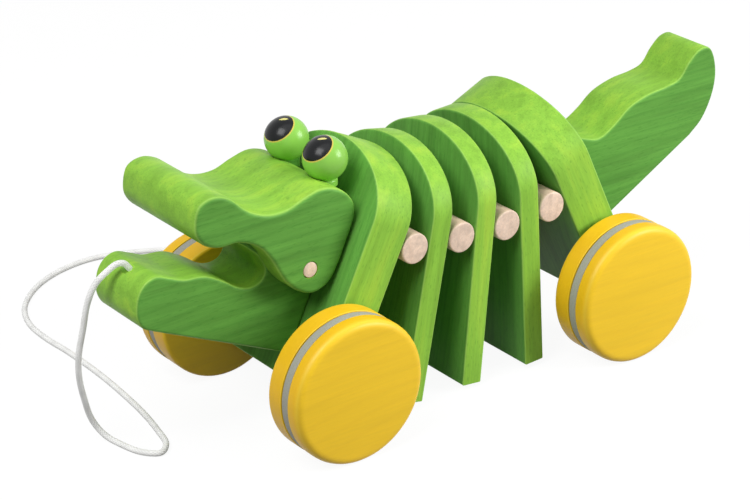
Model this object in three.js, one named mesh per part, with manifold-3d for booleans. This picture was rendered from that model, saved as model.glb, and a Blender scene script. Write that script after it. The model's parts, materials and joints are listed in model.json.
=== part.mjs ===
// Pull-along crocodile in stained beech: a front block and a rear block on wheels, three hanging
// ribs between them, spacer dowels in the gaps and an elastic cord strung through the whole back.
// Millimetres, +X towards the snout, +Y to the toy's left, +Z up, floor at z = 0.
import * as THREE from 'three';
import { mergeVertices } from 'three/addons/utils/BufferGeometryUtils.js';
import Module from 'manifold-3d';

// ---- driving dimensions -------------------------------------------------------------------
const FIT_GAP = 0.3; // clearance of every pin, peg, seat and glued face
const OVERRUN = 1; // how far a drill passes through the face it leaves by
const ROD_SIDES = 16;
const PIN_SIDES = 20;
const PEG_SIDES = 12;

const WHEEL_RADIUS = 30; // rolling radius, met by the middle of each rim facet
const WHEEL_WIDTH = 20;
const WHEEL_CLEARANCE = 2.5; // board's side to the wheel's inner face, filled by the washer
const WHEEL_RIM_ROUND = 3.2;
const WHEEL_INNER_ROUND = 1.2;
const TREAD_WIDTH = 4.5;
const TREAD_FROM_OUTER_FACE = 6.9;
const TREAD_DEPTH = 3;
const TREAD_BELOW_RIM = 0.25;
const WHEEL_FACETS = 36;

const AXLE_RADIUS = 2;
const AXLE_IN_WHEEL = 14; // depth of the blind bore in each wheel
const WASHER_RADIUS = 6;
const FRONT_AXLE_X = 70.2;
const FRONT_AXLE_SETBACK = 4.5; // axle centre behind the front block's front face
const REAR_AXLE_SETBACK = 3.8;
const FRONT_AXLE_DROP = 61.5; // axle centre below the centre of the arch

const BOARD_HALF_WIDTH = 35;
const WHEEL_OUTER_FACE = BOARD_HALF_WIDTH + WHEEL_CLEARANCE + WHEEL_WIDTH;
const ARCH_RISE = 25.6;
const ARCH_STEPS = 14;
const BOARD_EDGE_ROUND = 0.9;
const EDGE_STEPS = 2; // facets across every rounded edge of a board
const BLOCK_THICKNESS = 18.9;
const BLOCK_LEG = 71.3; // arch centre to the bottom edge
const RIB_THICKNESS = 9.9;
const RIB_LEG = 77;
const FRONT_BLOCK_PITCH = 25.7; // degrees, leaning back

const DOWEL_RADIUS = 6.4;
const DOWEL_BORE_RADIUS = 3.2; // wide enough for the elastic to turn in
const DOWEL_END_ROUND = 0.6;

// Each fold of the back: how far below the arch centre the dowel lies on the board before it and
// on the board after it, and how many degrees the next board leans away.
const FOLDS = [
  { before: 5.9, after: 10.6, lean: 14.7 },
  { before: 7.7, after: 11.0, lean: 5.6 },
  { before: 9.8, after: 10.4, lean: 8.6 },
  { before: 9.8, after: 9.6, lean: 21.5 },
];

const SPINE_RADIUS = 1.5;
const SPINE_BORE_RADIUS = 2.2;
const SPINE_BREAK = 0.8; // cord end to fold axis, so two lengths can turn about it
const SPINE_KNOT_RADIUS = 3.6;
const SPINE_POCKET_DEPTH = 9;
const SPINE_SIDES = 10;

const HEAD_WIDTH = 52.4;
const HEAD_EDGE_ROUND = 1.6;
const JAW_WIDTH = 30.6;
const JAW_EDGE_ROUND = 1.1;
const NECK_SIDE_GAP = 0.5;
const JAW_PIN_RADIUS = 3.2;
const JAW_PIN_FROM_AXLE = { x: 1, z: 41.2 };
const NECK_BOSS = { radius: 12.5, from: 80, to: 140, step: 15 }; // an arc round the pin, degrees

const TAIL_WIDTH = 25.6;
const TAIL_EDGE_ROUND = 1.1;

const EYE_RADIUS = 9;
const EYE_FROM_AXLE = { x: -16, z: 79.2 };
const EYE_SPREAD = 13; // each eye's distance from the middle
const EYE_PEG_RADIUS = 3;
const EYE_PEG_DEPTH = 9;

const FIXING_RADIUS = 4; // hidden glue dowels of the jaw and the tail
const FIXING_DEPTH = 12; // into each of the two pieces
const JAW_FIXING_DROPS = [38, 54];
const TAIL_FIXING_DROPS = [22, 44];

const CORD_RADIUS = 1.25;
const CORD_HOLE_RADIUS = 2.1;
const CORD_KNOT_RADIUS = 3.2;
const CORD_KNOT_POCKET_RADIUS = 4.2;
const CORD_KNOT_POCKET_FROM = 12.1; // from the mouth down to the start of the knot's pocket
const CORD_STEPS = 80;
const CORD_QUARTERS = 4; // curve segments of each half of the section, so eight sides
const CORD_HOLE_FROM_AXLE = { x: 66.2, z: 51.1 }; // middle of its mouth on the lip
const CORD_HOLE_DEPTH = 34;
const CORD_HOLE_TILT = 35; // degrees, leaning forward

// ---- outlines in the side view, x then z ---------------------------------------------------
// Those of the head and the jaw are measured from the front axle, the tail's from where its top
// edge meets the rear block.
const OUTLINE_STEPS = 2; // for each point of a smooth outline
const HEAD_OUTLINE = [
  [52.2, 73], [50, 80.2], [43.8, 82.5], [36.8, 80.4], [28.8, 73.4], [19.9, 69.2], [10.8, 68.8],
  [2.8, 71.5], [-5.7, 73.3], [-14, 70.8], [-20, 64.6], [-20.6, 58.4], [-16.6, 48.4], [-12.6, 40],
  [-7.9, 33.3], [-0.6, 30.8], [6.4, 33.4], [12.8, 39.8], [18.7, 50.2], [24, 56.6], [32.8, 61],
  [41.3, 61.3], [48, 63.9], [51.6, 68.6],
];
const SLOT_OUTLINE = [[31.3, 20], [31.3, 64.3], [1, 55.6], [-30.2, 46.7], [-30.2, 20]];
const JAW_FRONT = [
  [72.6, 40.4], [71.2, 46.6], [67.8, 50.5], [63.2, 51.8], [57.3, 49.7], [51.3, 47.2], [42.1, 46],
  [33.8, 41.7], [26.8, 36.9], [21.3, 35.4], [16.4, 36.9], [14.5, 40.6], [16.9, 46.8], [23.4, 53.2],
];
const NECK_LIP = [[26.4, 55.1], [25.6, 56.9]];
const JAW_CHIN = [[65.2, 29.5], [70, 32.2], [72.2, 36.2]];
const JAW_BOTTOM_DROP = 61.6;
const NECK_TOP_DROP = 12.4;
const TAIL_TOP = [
  [-9, -2.6], [-17, -6.2], [-25.6, -8.2], [-33.8, -4.3], [-42.1, 1.7], [-52.8, 5.1], [-64, 6.3],
  [-70.6, 8.2], [-75.6, 14.2], [-81.2, 18.6], [-86.2, 19], [-89.2, 16.2], [-91.6, 7.4],
  [-91, -0.4], [-88.4, -7.6], [-84.2, -14.2], [-77.7, -19.6],
];
const TAIL_TOP_DROP = -0.88; // from the rear block's arch centre, along its rear face
const TAIL_UNDERSIDE_SLOPE = 0.551;

// The pull cord: out of the jaw, over its lip, down to the floor, round a fold and away along
// the toy's right side.
const CORD_ROUTE = [
  [129.5, 0, 71.3], [133, 0, 76.2], [136.4, 0, 81.1], [138.2, -0.2, 83.2], [141, -0.6, 83.6],
  [144.6, -1.6, 81.4], [149, -3.4, 76.8], [151.8, -5.6, 68.6], [153, -8, 57.5], [154, -11, 45],
  [152.8, -14, 34.5],
  [149, -18, 22], [144.2, -21, 9.4], [140.8, -18.4, 3.2], [138.4, -11, 1.5], [134.8, 0.4, 1.4],
  [129.4, 5, 1.4], [124, 0.4, 1.4], [120.6, -11, 1.4], [117.6, -26, 1.4], [115.6, -42, 1.4],
  [113.8, -66, 1.4], [113.6, -92, 1.4], [114.6, -112, 1.4], [113.2, -127, 1.4], [107.6, -141, 1.4],
  [98, -152.6, 1.4], [86, -161.4, 1.4], [72, -167, 1.4], [57, -168.6, 1.4], [42, -165, 1.4],
  [26, -157, 1.4], [10, -145, 1.4], [-6, -131, 1.4], [-23, -118, 1.4], [-42, -108, 1.4],
  [-60, -102, 1.4], [-72, -100, 2.2],
];
const CORD_END_KNOT = [-75.6, -99.6, 3.4];

// ---- materials -----------------------------------------------------------------------------
const finish = (color, roughness, metalness = 0) => () =>
  new THREE.MeshStandardMaterial({ color, roughness, metalness });
const greenWood = finish(0x7fbf3f, 0.5);
const yellowWood = finish(0xf2c52e, 0.45);
const plainBeech = finish(0xe3cdb8, 0.6);
const greyRubber = finish(0xb0b0a4, 0.75);
const steel = finish(0xb8babd, 0.3, 1);
const whiteCord = finish(0xf2f2ef, 0.9);
const elastic = finish(0xe8e6df, 0.85);
const clearNylon = finish(0xe6e6e0, 0.5);

// ---- solids --------------------------------------------------------------------------------
const wasm = await Module();
wasm.setup();

function toSolid(geometry) {
  const bare = geometry.index ? geometry.toNonIndexed() : geometry.clone();
  bare.deleteAttribute('normal');
  bare.deleteAttribute('uv');
  const merged = mergeVertices(bare, 1e-4);
  return new wasm.Manifold(new wasm.Mesh({
    numProp: 3,
    vertProperties: new Float32Array(merged.attributes.position.array),
    triVerts: new Uint32Array(merged.index.array),
  }));
}

function toGeometry(solid) {
  const mesh = solid.getMesh();
  const geometry = new THREE.BufferGeometry();
  geometry.setAttribute('position', new THREE.BufferAttribute(mesh.vertProperties, 3));
  geometry.setIndex(new THREE.BufferAttribute(mesh.triVerts, 1));
  return geometry;
}

function cut(geometry, ...tools) {
  return toGeometry(tools.reduce((solid, tool) => solid.subtract(toSolid(tool)), toSolid(geometry)));
}

function join(geometry, ...pieces) {
  return toGeometry(pieces.reduce((solid, piece) => solid.add(toSolid(piece)), toSolid(geometry)));
}

const BOARD_AXES = new THREE.Matrix4().makeBasis(
  new THREE.Vector3(0, 1, 0), new THREE.Vector3(0, 0, 1), new THREE.Vector3(1, 0, 0));
const SIDE_AXES = new THREE.Matrix4().makeBasis(
  new THREE.Vector3(1, 0, 0), new THREE.Vector3(0, 0, 1), new THREE.Vector3(0, -1, 0));

/** A slab of a shape, centred across its thickness, with its edges rounded. */
function slab(shape, thickness, round, axes) {
  const geometry = new THREE.ExtrudeGeometry(shape, {
    depth: thickness - 2 * round,
    bevelEnabled: round > 0,
    bevelThickness: round,
    bevelSize: round,
    bevelOffset: -round,
    bevelSegments: EDGE_STEPS,
  });
  return geometry.translate(0, 0, round - thickness / 2).applyMatrix4(axes);
}

/** A cylinder from one point to another. */
function rod(from, to, radius, sides = ROD_SIDES) {
  const start = new THREE.Vector3(...from);
  const run = new THREE.Vector3(...to).sub(start);
  const turn = new THREE.Quaternion().setFromUnitVectors(
    new THREE.Vector3(0, 1, 0), run.clone().normalize());
  return new THREE.CylinderGeometry(radius, radius, run.length(), sides)
    .applyQuaternion(turn)
    .translate(...start.addScaledVector(run, 0.5).toArray());
}

/** A body turned about the Y axis from (radius, y) points; facet middles meet the given radii. */
function turned(points, facets) {
  const half = Math.PI / facets;
  const profile = points.map(([radius, y]) => new THREE.Vector2(radius / Math.cos(half), y));
  return new THREE.LatheGeometry(profile, facets, half);
}

function sideShape(points) {
  return new THREE.Shape(points.map(([x, z]) => new THREE.Vector2(x, z)));
}

/** A smooth curve through the points of an outline. */
function smooth(points, closed) {
  const curve = new THREE.CatmullRomCurve3(
    points.map(([x, z]) => new THREE.Vector3(x, z, 0)), closed, 'centripetal');
  return curve.getPoints(OUTLINE_STEPS * points.length).map((p) => [p.x, p.y]);
}

// ---- boards of the back --------------------------------------------------------------------
/** Arched board: half an ellipse over straight legs, arch centre at the origin of the front face. */
function archedBoard(thickness, leg) {
  const arch = new THREE.EllipseCurve(0, 0, BOARD_HALF_WIDTH, ARCH_RISE, 0, Math.PI)
    .getPoints(2 * ARCH_STEPS);
  const shape = new THREE.Shape([
    new THREE.Vector2(BOARD_HALF_WIDTH, -leg), ...arch, new THREE.Vector2(-BOARD_HALF_WIDTH, -leg),
  ]);
  return slab(shape, thickness, BOARD_EDGE_ROUND, BOARD_AXES).translate(-thickness / 2, 0, 0);
}

/** A point of a leaning board: forward of its front face, and up from its arch centre. */
function onBoard(board, forward, up) {
  const c = Math.cos(board.pitch);
  const s = Math.sin(board.pitch);
  return { x: board.x + forward * c - up * s, z: board.z + forward * s + up * c };
}

/** The leaning board on which a given place falls on a given point. */
function boardAt(point, pitch, forward, up) {
  const origin = onBoard({ x: point.x, z: point.z, pitch }, -forward, -up);
  return { ...origin, pitch };
}

const radians = THREE.MathUtils.degToRad;
const dowelReach = DOWEL_RADIUS + FIT_GAP;
const frontAxle = { x: FRONT_AXLE_X, z: WHEEL_RADIUS };
const fromFrontAxle = ({ x, z }) => ({ x: frontAxle.x + x, z: frontAxle.z + z });
const offFrontAxle = (points) => points.map(([x, z]) => [frontAxle.x + x, frontAxle.z + z]);
const jawPin = fromFrontAxle(JAW_PIN_FROM_AXLE);
const eye = fromFrontAxle(EYE_FROM_AXLE);
const cordHole = fromFrontAxle(CORD_HOLE_FROM_AXLE);
const boards = [{
  ...boardAt(frontAxle, radians(FRONT_BLOCK_PITCH), -FRONT_AXLE_SETBACK, -FRONT_AXLE_DROP),
  thickness: BLOCK_THICKNESS,
}];
const dowels = [];
for (const fold of FOLDS) {
  const before = boards.at(-1);
  const isLast = boards.length === FOLDS.length;
  const dowel = onBoard(before, -before.thickness - dowelReach, -fold.before);
  dowels.push(dowel);
  boards.push({
    ...boardAt(dowel, before.pitch - radians(fold.lean), dowelReach, -fold.after),
    thickness: isLast ? BLOCK_THICKNESS : RIB_THICKNESS,
  });
}
const [frontBoard, , , , rearBoard] = boards;
const rearAxleDrop = (rearBoard.z - REAR_AXLE_SETBACK * Math.sin(rearBoard.pitch) - WHEEL_RADIUS)
  / Math.cos(rearBoard.pitch);
const rearAxle = onBoard(rearBoard, -REAR_AXLE_SETBACK, -rearAxleDrop);

// The elastic runs from a pocket in the front block, through every dowel, to one in the rear block.
const spineStart = onBoard(frontBoard, -SPINE_POCKET_DEPTH, -FOLDS[0].before);
const spineEnd = onBoard(rearBoard, SPINE_POCKET_DEPTH - BLOCK_THICKNESS, -FOLDS.at(-1).after);
const spineNodes = [spineStart, ...dowels, spineEnd];

const object = new THREE.Group();

function add(name, geometry, material) {
  const mesh = new THREE.Mesh(geometry, material());
  mesh.name = name;
  object.add(mesh);
  return mesh;
}

/** Moves a solid made in a board's own frame to where that board leans. */
function toBoardPlace(geometry, board) {
  return geometry.applyMatrix4(new THREE.Matrix4().makeRotationY(-board.pitch))
    .translate(board.x, 0, board.z);
}

const at = (point, y = 0) => [point.x, y, point.z];

/** Point on the way from one place to another, a distance from the first. */
function along(from, to, distance) {
  const length = Math.hypot(to.x - from.x, to.z - from.z);
  return {
    x: from.x + (to.x - from.x) * distance / length,
    z: from.z + (to.z - from.z) * distance / length,
  };
}

function axleBore(axle) {
  const reach = BOARD_HALF_WIDTH + OVERRUN;
  return rod(at(axle, -reach), at(axle, reach), AXLE_RADIUS + FIT_GAP);
}

/** Holes for the glue dowels, across a face that lies some way forward of a board's front. */
function fixingHoles(board, face, drops, depth) {
  return drops.map((drop) => rod(
    at(onBoard(board, face - depth, -drop)), at(onBoard(board, face + depth, -drop)),
    FIXING_RADIUS + FIT_GAP));
}

const holeDepth = FIXING_DEPTH + FIT_GAP;
const jawFixingHoles = () => fixingHoles(frontBoard, 0, JAW_FIXING_DROPS, holeDepth);
const tailFixingHoles = () => fixingHoles(rearBoard, -BLOCK_THICKNESS, TAIL_FIXING_DROPS, holeDepth);

function addBoards() {
  const spineBore = (from, to) => rod(
    at(along(from, to, -OVERRUN)), at(along(to, from, -OVERRUN)), SPINE_BORE_RADIUS);
  const frontPocket = rod(
    at(onBoard(frontBoard, OVERRUN, -FOLDS[0].before)), at(spineStart), SPINE_KNOT_RADIUS + FIT_GAP);
  const rearPocket = rod(
    at(onBoard(rearBoard, -BLOCK_THICKNESS - OVERRUN, -FOLDS.at(-1).after)), at(spineEnd),
    SPINE_KNOT_RADIUS + FIT_GAP);
  add('front_block', cut(
    toBoardPlace(archedBoard(BLOCK_THICKNESS, BLOCK_LEG), frontBoard),
    axleBore(frontAxle), spineBore(spineStart, dowels[0]), frontPocket, ...jawFixingHoles(),
  ), greenWood);
  for (let i = 1; i < FOLDS.length; i += 1) {
    add(`rib_${i}`, cut(
      toBoardPlace(archedBoard(RIB_THICKNESS, RIB_LEG), boards[i]),
      spineBore(dowels[i - 1], dowels[i]),
    ), greenWood);
  }
  add('rear_block', cut(
    toBoardPlace(archedBoard(BLOCK_THICKNESS, BLOCK_LEG), rearBoard),
    axleBore(rearAxle), spineBore(dowels.at(-1), spineEnd), rearPocket, ...tailFixingHoles(),
  ), greenWood);
}

function addDowels() {
  const length = 2 * BOARD_HALF_WIDTH;
  dowels.forEach((dowel, i) => {
    const [before, after] = [spineNodes[i], spineNodes[i + 2]];
    const plain = turned([
      [0, -length / 2], [DOWEL_RADIUS - DOWEL_END_ROUND, -length / 2],
      [DOWEL_RADIUS, DOWEL_END_ROUND - length / 2], [DOWEL_RADIUS, length / 2 - DOWEL_END_ROUND],
      [DOWEL_RADIUS - DOWEL_END_ROUND, length / 2], [0, length / 2],
    ], PIN_SIDES).translate(dowel.x, 0, dowel.z);
    // the bore lies midway between the two lengths of elastic that meet in it
    const back = along(dowel, before, 1);
    const on = along(dowel, after, 1);
    const middle = { x: on.x - back.x, z: on.z - back.z };
    const reach = (DOWEL_RADIUS + OVERRUN) / Math.hypot(middle.x, middle.z);
    const bore = rod(
      [dowel.x - middle.x * reach, 0, dowel.z - middle.z * reach],
      [dowel.x + middle.x * reach, 0, dowel.z + middle.z * reach], DOWEL_BORE_RADIUS);
    add(`spacer_dowel_${i + 1}`, cut(plain, bore), plainBeech);
  });
}

/** A knot, as a plain ball. */
function knotBall(radius, centre) {
  return new THREE.SphereGeometry(radius, 10, 6).translate(...centre);
}

function addSpine() {
  spineNodes.slice(1).forEach((to, i) => {
    const from = spineNodes[i];
    const first = i === 0 ? FIT_GAP : SPINE_BREAK;
    const last = i === dowels.length ? FIT_GAP : SPINE_BREAK;
    const start = along(from, to, first);
    const end = along(to, from, last);
    add(`spine_elastic_${i + 1}`, rod(at(start), at(end), SPINE_RADIUS, SPINE_SIDES), elastic);
  });
  const knot = (board, pocketFloor, forward) => {
    const centre = onBoard(board, pocketFloor + forward * SPINE_KNOT_RADIUS,
      -(forward > 0 ? FOLDS[0].before : FOLDS.at(-1).after));
    return knotBall(SPINE_KNOT_RADIUS, at(centre));
  };
  add('spine_knot_front', knot(frontBoard, -SPINE_POCKET_DEPTH, 1), elastic);
  add('spine_knot_rear', knot(rearBoard, SPINE_POCKET_DEPTH - BLOCK_THICKNESS, -1), elastic);
}

// ---- head, jaw and tail --------------------------------------------------------------------
/** A rod on the jaw pin's axis. */
function onPinAxis(halfLength, radius) {
  return rod(at(jawPin, -halfLength), at(jawPin, halfLength), radius, PIN_SIDES);
}

function addHead() {
  const body = slab(
    sideShape(smooth(offFrontAxle(HEAD_OUTLINE), true)), HEAD_WIDTH, HEAD_EDGE_ROUND, SIDE_AXES);
  const slot = slab(sideShape(offFrontAxle(SLOT_OUTLINE)), JAW_WIDTH + 2 * NECK_SIDE_GAP, 0, SIDE_AXES);
  const pegHoles = [1, -1].map((side) => rod(
    [eye.x, side * EYE_SPREAD, eye.z - EYE_RADIUS - EYE_PEG_DEPTH - FIT_GAP],
    [eye.x, side * EYE_SPREAD, eye.z + EYE_RADIUS], EYE_PEG_RADIUS + FIT_GAP));
  const eyeSeats = [1, -1].map((side) => new THREE.SphereGeometry(EYE_RADIUS + FIT_GAP, 20, 14)
    .translate(eye.x, side * EYE_SPREAD, eye.z));
  add('head', cut(
    body, slot, onPinAxis(HEAD_WIDTH, JAW_PIN_RADIUS + FIT_GAP), ...pegHoles, ...eyeSeats,
  ), greenWood);
}

function addEyes() {
  for (const [name, side] of [['left_eye', 1], ['right_eye', -1]]) {
    const ball = new THREE.SphereGeometry(EYE_RADIUS, 18, 12).translate(eye.x, side * EYE_SPREAD, eye.z);
    const peg = rod(
      [eye.x, side * EYE_SPREAD, eye.z - EYE_RADIUS - EYE_PEG_DEPTH], [eye.x, side * EYE_SPREAD, eye.z],
      EYE_PEG_RADIUS, PEG_SIDES);
    add(name, join(ball, peg), greenWood);
  }
}

/** A point on the cord hole's axis, a distance below its mouth. */
function inCordHole(depth) {
  const tilt = radians(CORD_HOLE_TILT);
  return { x: cordHole.x - depth * Math.sin(tilt), z: cordHole.z - depth * Math.cos(tilt) };
}

/** The jaw and the neck behind it, down to the front block's face. */
function jawOutline() {
  const neckTop = onBoard(frontBoard, FIT_GAP, -NECK_TOP_DROP);
  const jawFoot = onBoard(frontBoard, FIT_GAP, -JAW_BOTTOM_DROP);
  const boss = [];
  for (let angle = NECK_BOSS.from; angle <= NECK_BOSS.to; angle += NECK_BOSS.step) {
    const turn = radians(angle);
    boss.push([
      jawPin.x + NECK_BOSS.radius * Math.cos(turn), jawPin.z + NECK_BOSS.radius * Math.sin(turn)]);
  }
  return [
    ...smooth(offFrontAxle([...JAW_CHIN, ...JAW_FRONT]), false), ...offFrontAxle(NECK_LIP), ...boss,
    [neckTop.x, neckTop.z], [jawFoot.x, jawFoot.z],
  ];
}

function addJaw() {
  const body = slab(sideShape(jawOutline()), JAW_WIDTH, JAW_EDGE_ROUND, SIDE_AXES);
  const cordBore = rod(
    at(inCordHole(-2 * OVERRUN)), at(inCordHole(CORD_HOLE_DEPTH)), CORD_HOLE_RADIUS, PEG_SIDES);
  const knotPocket = rod(
    at(inCordHole(CORD_KNOT_POCKET_FROM)), at(inCordHole(CORD_HOLE_DEPTH)),
    CORD_KNOT_POCKET_RADIUS);
  add('lower_jaw', cut(
    body, onPinAxis(JAW_WIDTH, JAW_PIN_RADIUS + FIT_GAP), cordBore, knotPocket, ...jawFixingHoles(),
  ), greenWood);
  add('jaw_pin', onPinAxis(HEAD_WIDTH / 2, JAW_PIN_RADIUS), plainBeech);
}

function addTail() {
  const heel = onBoard(rearBoard, -BLOCK_THICKNESS - FIT_GAP, 0);
  const c = Math.cos(rearBoard.pitch);
  const s = Math.sin(rearBoard.pitch);
  const onFace = (drop) => [heel.x + drop * s, heel.z - drop * c];
  const [rootX, rootZ] = onFace(TAIL_TOP_DROP);
  const outline = TAIL_TOP.map(([x, z]) => [rootX + x, rootZ + z]);
  const [lastX, lastZ] = outline.at(-1);
  // where the straight underside meets the block's rear face
  const footDrop = (heel.z - lastZ + TAIL_UNDERSIDE_SLOPE * (heel.x - lastX))
    / (c - TAIL_UNDERSIDE_SLOPE * s);
  const top = smooth([[rootX, rootZ], ...outline], false);
  const body = slab(sideShape([...top, onFace(footDrop)]), TAIL_WIDTH, TAIL_EDGE_ROUND, SIDE_AXES);
  add('tail', cut(body, ...tailFixingHoles()), greenWood);
}

function addFixings() {
  const peg = (board, face, drop) => rod(
    at(onBoard(board, face - FIXING_DEPTH, -drop)), at(onBoard(board, face + FIXING_DEPTH, -drop)),
    FIXING_RADIUS, PEG_SIDES);
  JAW_FIXING_DROPS.forEach((drop, i) => {
    add(`jaw_glue_dowel_${i + 1}`, peg(frontBoard, 0, drop), plainBeech);
  });
  TAIL_FIXING_DROPS.forEach((drop, i) => {
    add(`tail_glue_dowel_${i + 1}`, peg(rearBoard, -BLOCK_THICKNESS, drop), plainBeech);
  });
}

// ---- wheels --------------------------------------------------------------------------------
function wheelBody() {
  const outer = WHEEL_OUTER_FACE;
  const inner = outer - WHEEL_WIDTH;
  const grooveOuter = outer - TREAD_FROM_OUTER_FACE;
  const grooveInner = grooveOuter - TREAD_WIDTH;
  const rim = WHEEL_RADIUS;
  const floorOfGroove = rim - TREAD_DEPTH;
  const inset = WHEEL_RIM_ROUND * (1 - Math.SQRT1_2); // from the corner to the middle of its round
  return turned([
    [0, inner], [rim - WHEEL_INNER_ROUND, inner], [rim, inner + WHEEL_INNER_ROUND],
    [rim, grooveInner], [floorOfGroove, grooveInner], [floorOfGroove, grooveOuter], [rim, grooveOuter],
    [rim, outer - WHEEL_RIM_ROUND], [rim - inset, outer - inset],
    [rim - WHEEL_RIM_ROUND, outer], [0, outer],
  ], WHEEL_FACETS);
}

function treadBody() {
  const top = WHEEL_OUTER_FACE - TREAD_FROM_OUTER_FACE - FIT_GAP;
  const bottom = top - TREAD_WIDTH + 2 * FIT_GAP;
  const outer = WHEEL_RADIUS - TREAD_BELOW_RIM;
  const inner = WHEEL_RADIUS - TREAD_DEPTH + FIT_GAP;
  return turned([
    [inner, bottom], [outer, bottom], [outer, top], [inner, top], [inner, bottom],
  ], WHEEL_FACETS);
}

function washerBody() {
  const outer = WHEEL_OUTER_FACE - WHEEL_WIDTH - FIT_GAP;
  const inner = BOARD_HALF_WIDTH + FIT_GAP;
  const bore = AXLE_RADIUS + FIT_GAP;
  return turned([
    [bore, inner], [WASHER_RADIUS, inner], [WASHER_RADIUS, outer], [bore, outer], [bore, inner],
  ], ROD_SIDES);
}

function addWheelset(name, axle) {
  const axleEnd = WHEEL_OUTER_FACE - WHEEL_WIDTH + AXLE_IN_WHEEL;
  add(`${name}_axle`, rod(at(axle, -axleEnd), at(axle, axleEnd), AXLE_RADIUS), steel);
  for (const [side, turn] of [['left', 0], ['right', Math.PI]]) {
    const place = (geometry) => geometry.rotateZ(turn).translate(axle.x, 0, axle.z);
    const bore = rod([0, 0, 0], [0, axleEnd + FIT_GAP, 0], AXLE_RADIUS + FIT_GAP);
    add(`${name}_${side}_wheel`, place(cut(wheelBody(), bore)), yellowWood);
    add(`${name}_${side}_tread`, place(treadBody()), greyRubber);
    add(`${name}_${side}_washer`, place(washerBody()), clearNylon);
  }
}

// ---- pull cord -----------------------------------------------------------------------------
function addCord() {
  const path = new THREE.CatmullRomCurve3(
    CORD_ROUTE.map((point) => new THREE.Vector3(...point)), false, 'centripetal');
  const section = new THREE.Shape();
  section.absarc(0, 0, CORD_RADIUS, 0, 2 * Math.PI);
  const tube = new THREE.ExtrudeGeometry(section, {
    steps: CORD_STEPS, extrudePath: path, curveSegments: CORD_QUARTERS, bevelEnabled: false,
  });
  add('pull_cord', tube, whiteCord);
  add('cord_end_knot', knotBall(CORD_KNOT_RADIUS, CORD_END_KNOT), whiteCord);
  const stopKnot = inCordHole(CORD_KNOT_POCKET_FROM + FIT_GAP + CORD_KNOT_RADIUS);
  add('cord_stop_knot', knotBall(CORD_KNOT_RADIUS, at(stopKnot)), whiteCord);
}

addBoards();
addDowels();
addSpine();
addHead();
addEyes();
addJaw();
addTail();
addFixings();
addWheelset('front', frontAxle);
addWheelset('rear', rearAxle);

// The origin lies on the floor under the middle of everything but the cord.
const body = new THREE.Box3().setFromObject(object);
addCord();
object.position.set(-(body.min.x + body.max.x) / 2, 0, 0);

const group = new THREE.Group();
group.add(object);

export default group;
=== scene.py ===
"""A pull-along crocodile in stained beech: carved boards, turned wheels and a braided pull cord.

Every size below is in millimetres in the maker's own frame: +X towards the snout, +Y to the toy's
left, +Z up, the floor at z = 0. Bench.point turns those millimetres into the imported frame.
"""

import json
import logging
import math
from collections.abc import Sequence
from dataclasses import dataclass, field
from enum import Enum

import bpy
import numpy as np
from mathutils import Matrix, Vector

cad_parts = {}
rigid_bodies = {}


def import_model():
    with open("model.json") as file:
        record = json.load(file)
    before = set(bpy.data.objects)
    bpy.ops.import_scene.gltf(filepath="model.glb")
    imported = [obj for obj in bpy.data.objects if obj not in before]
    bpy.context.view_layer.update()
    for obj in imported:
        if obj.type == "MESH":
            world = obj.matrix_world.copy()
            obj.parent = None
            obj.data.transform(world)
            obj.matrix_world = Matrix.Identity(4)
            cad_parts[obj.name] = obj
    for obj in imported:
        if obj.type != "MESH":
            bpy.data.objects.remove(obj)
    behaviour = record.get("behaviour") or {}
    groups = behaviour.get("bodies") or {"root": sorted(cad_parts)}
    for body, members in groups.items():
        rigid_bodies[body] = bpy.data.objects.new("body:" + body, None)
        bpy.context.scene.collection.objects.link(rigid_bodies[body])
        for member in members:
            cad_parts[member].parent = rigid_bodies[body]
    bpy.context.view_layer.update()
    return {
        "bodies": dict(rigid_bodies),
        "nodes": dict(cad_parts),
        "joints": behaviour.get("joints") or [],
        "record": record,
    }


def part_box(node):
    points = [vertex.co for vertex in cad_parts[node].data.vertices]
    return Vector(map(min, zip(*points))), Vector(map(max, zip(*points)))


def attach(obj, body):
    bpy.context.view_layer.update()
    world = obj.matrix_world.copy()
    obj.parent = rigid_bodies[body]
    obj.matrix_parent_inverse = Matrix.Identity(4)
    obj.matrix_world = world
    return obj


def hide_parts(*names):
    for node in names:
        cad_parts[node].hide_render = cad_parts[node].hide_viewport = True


LOG = logging.getLogger("crocodile")
MM = 0.001

FIT_GAP = 0.3
OVERRUN = 1.0
WHEEL_RADIUS = 30.0
BOARD_HALF_WIDTH = 35.0
HOLD = 0.35  # width of the flat ring that keeps a rounded edge's shading off its face


class Look(Enum):
    """What a piece is finished in, by its slot in the record."""

    GREEN = "green_wood"
    YELLOW = "yellow_wood"
    PLAIN = "plain_beech"
    ENAMEL = "eye_paint"
    RUBBER = "rubber_ring"
    STEEL = "steel_axle"
    NYLON = "nylon_washer"
    ELASTIC = "elastic_cord"
    CORD = "white_cord"


class Axis(Enum):
    """Directions of the maker's frame."""

    X = (1.0, 0.0, 0.0)
    Y = (0.0, 1.0, 0.0)
    Z = (0.0, 0.0, 1.0)


# ---- curves and solids ----------------------------------------------------------------------


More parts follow.
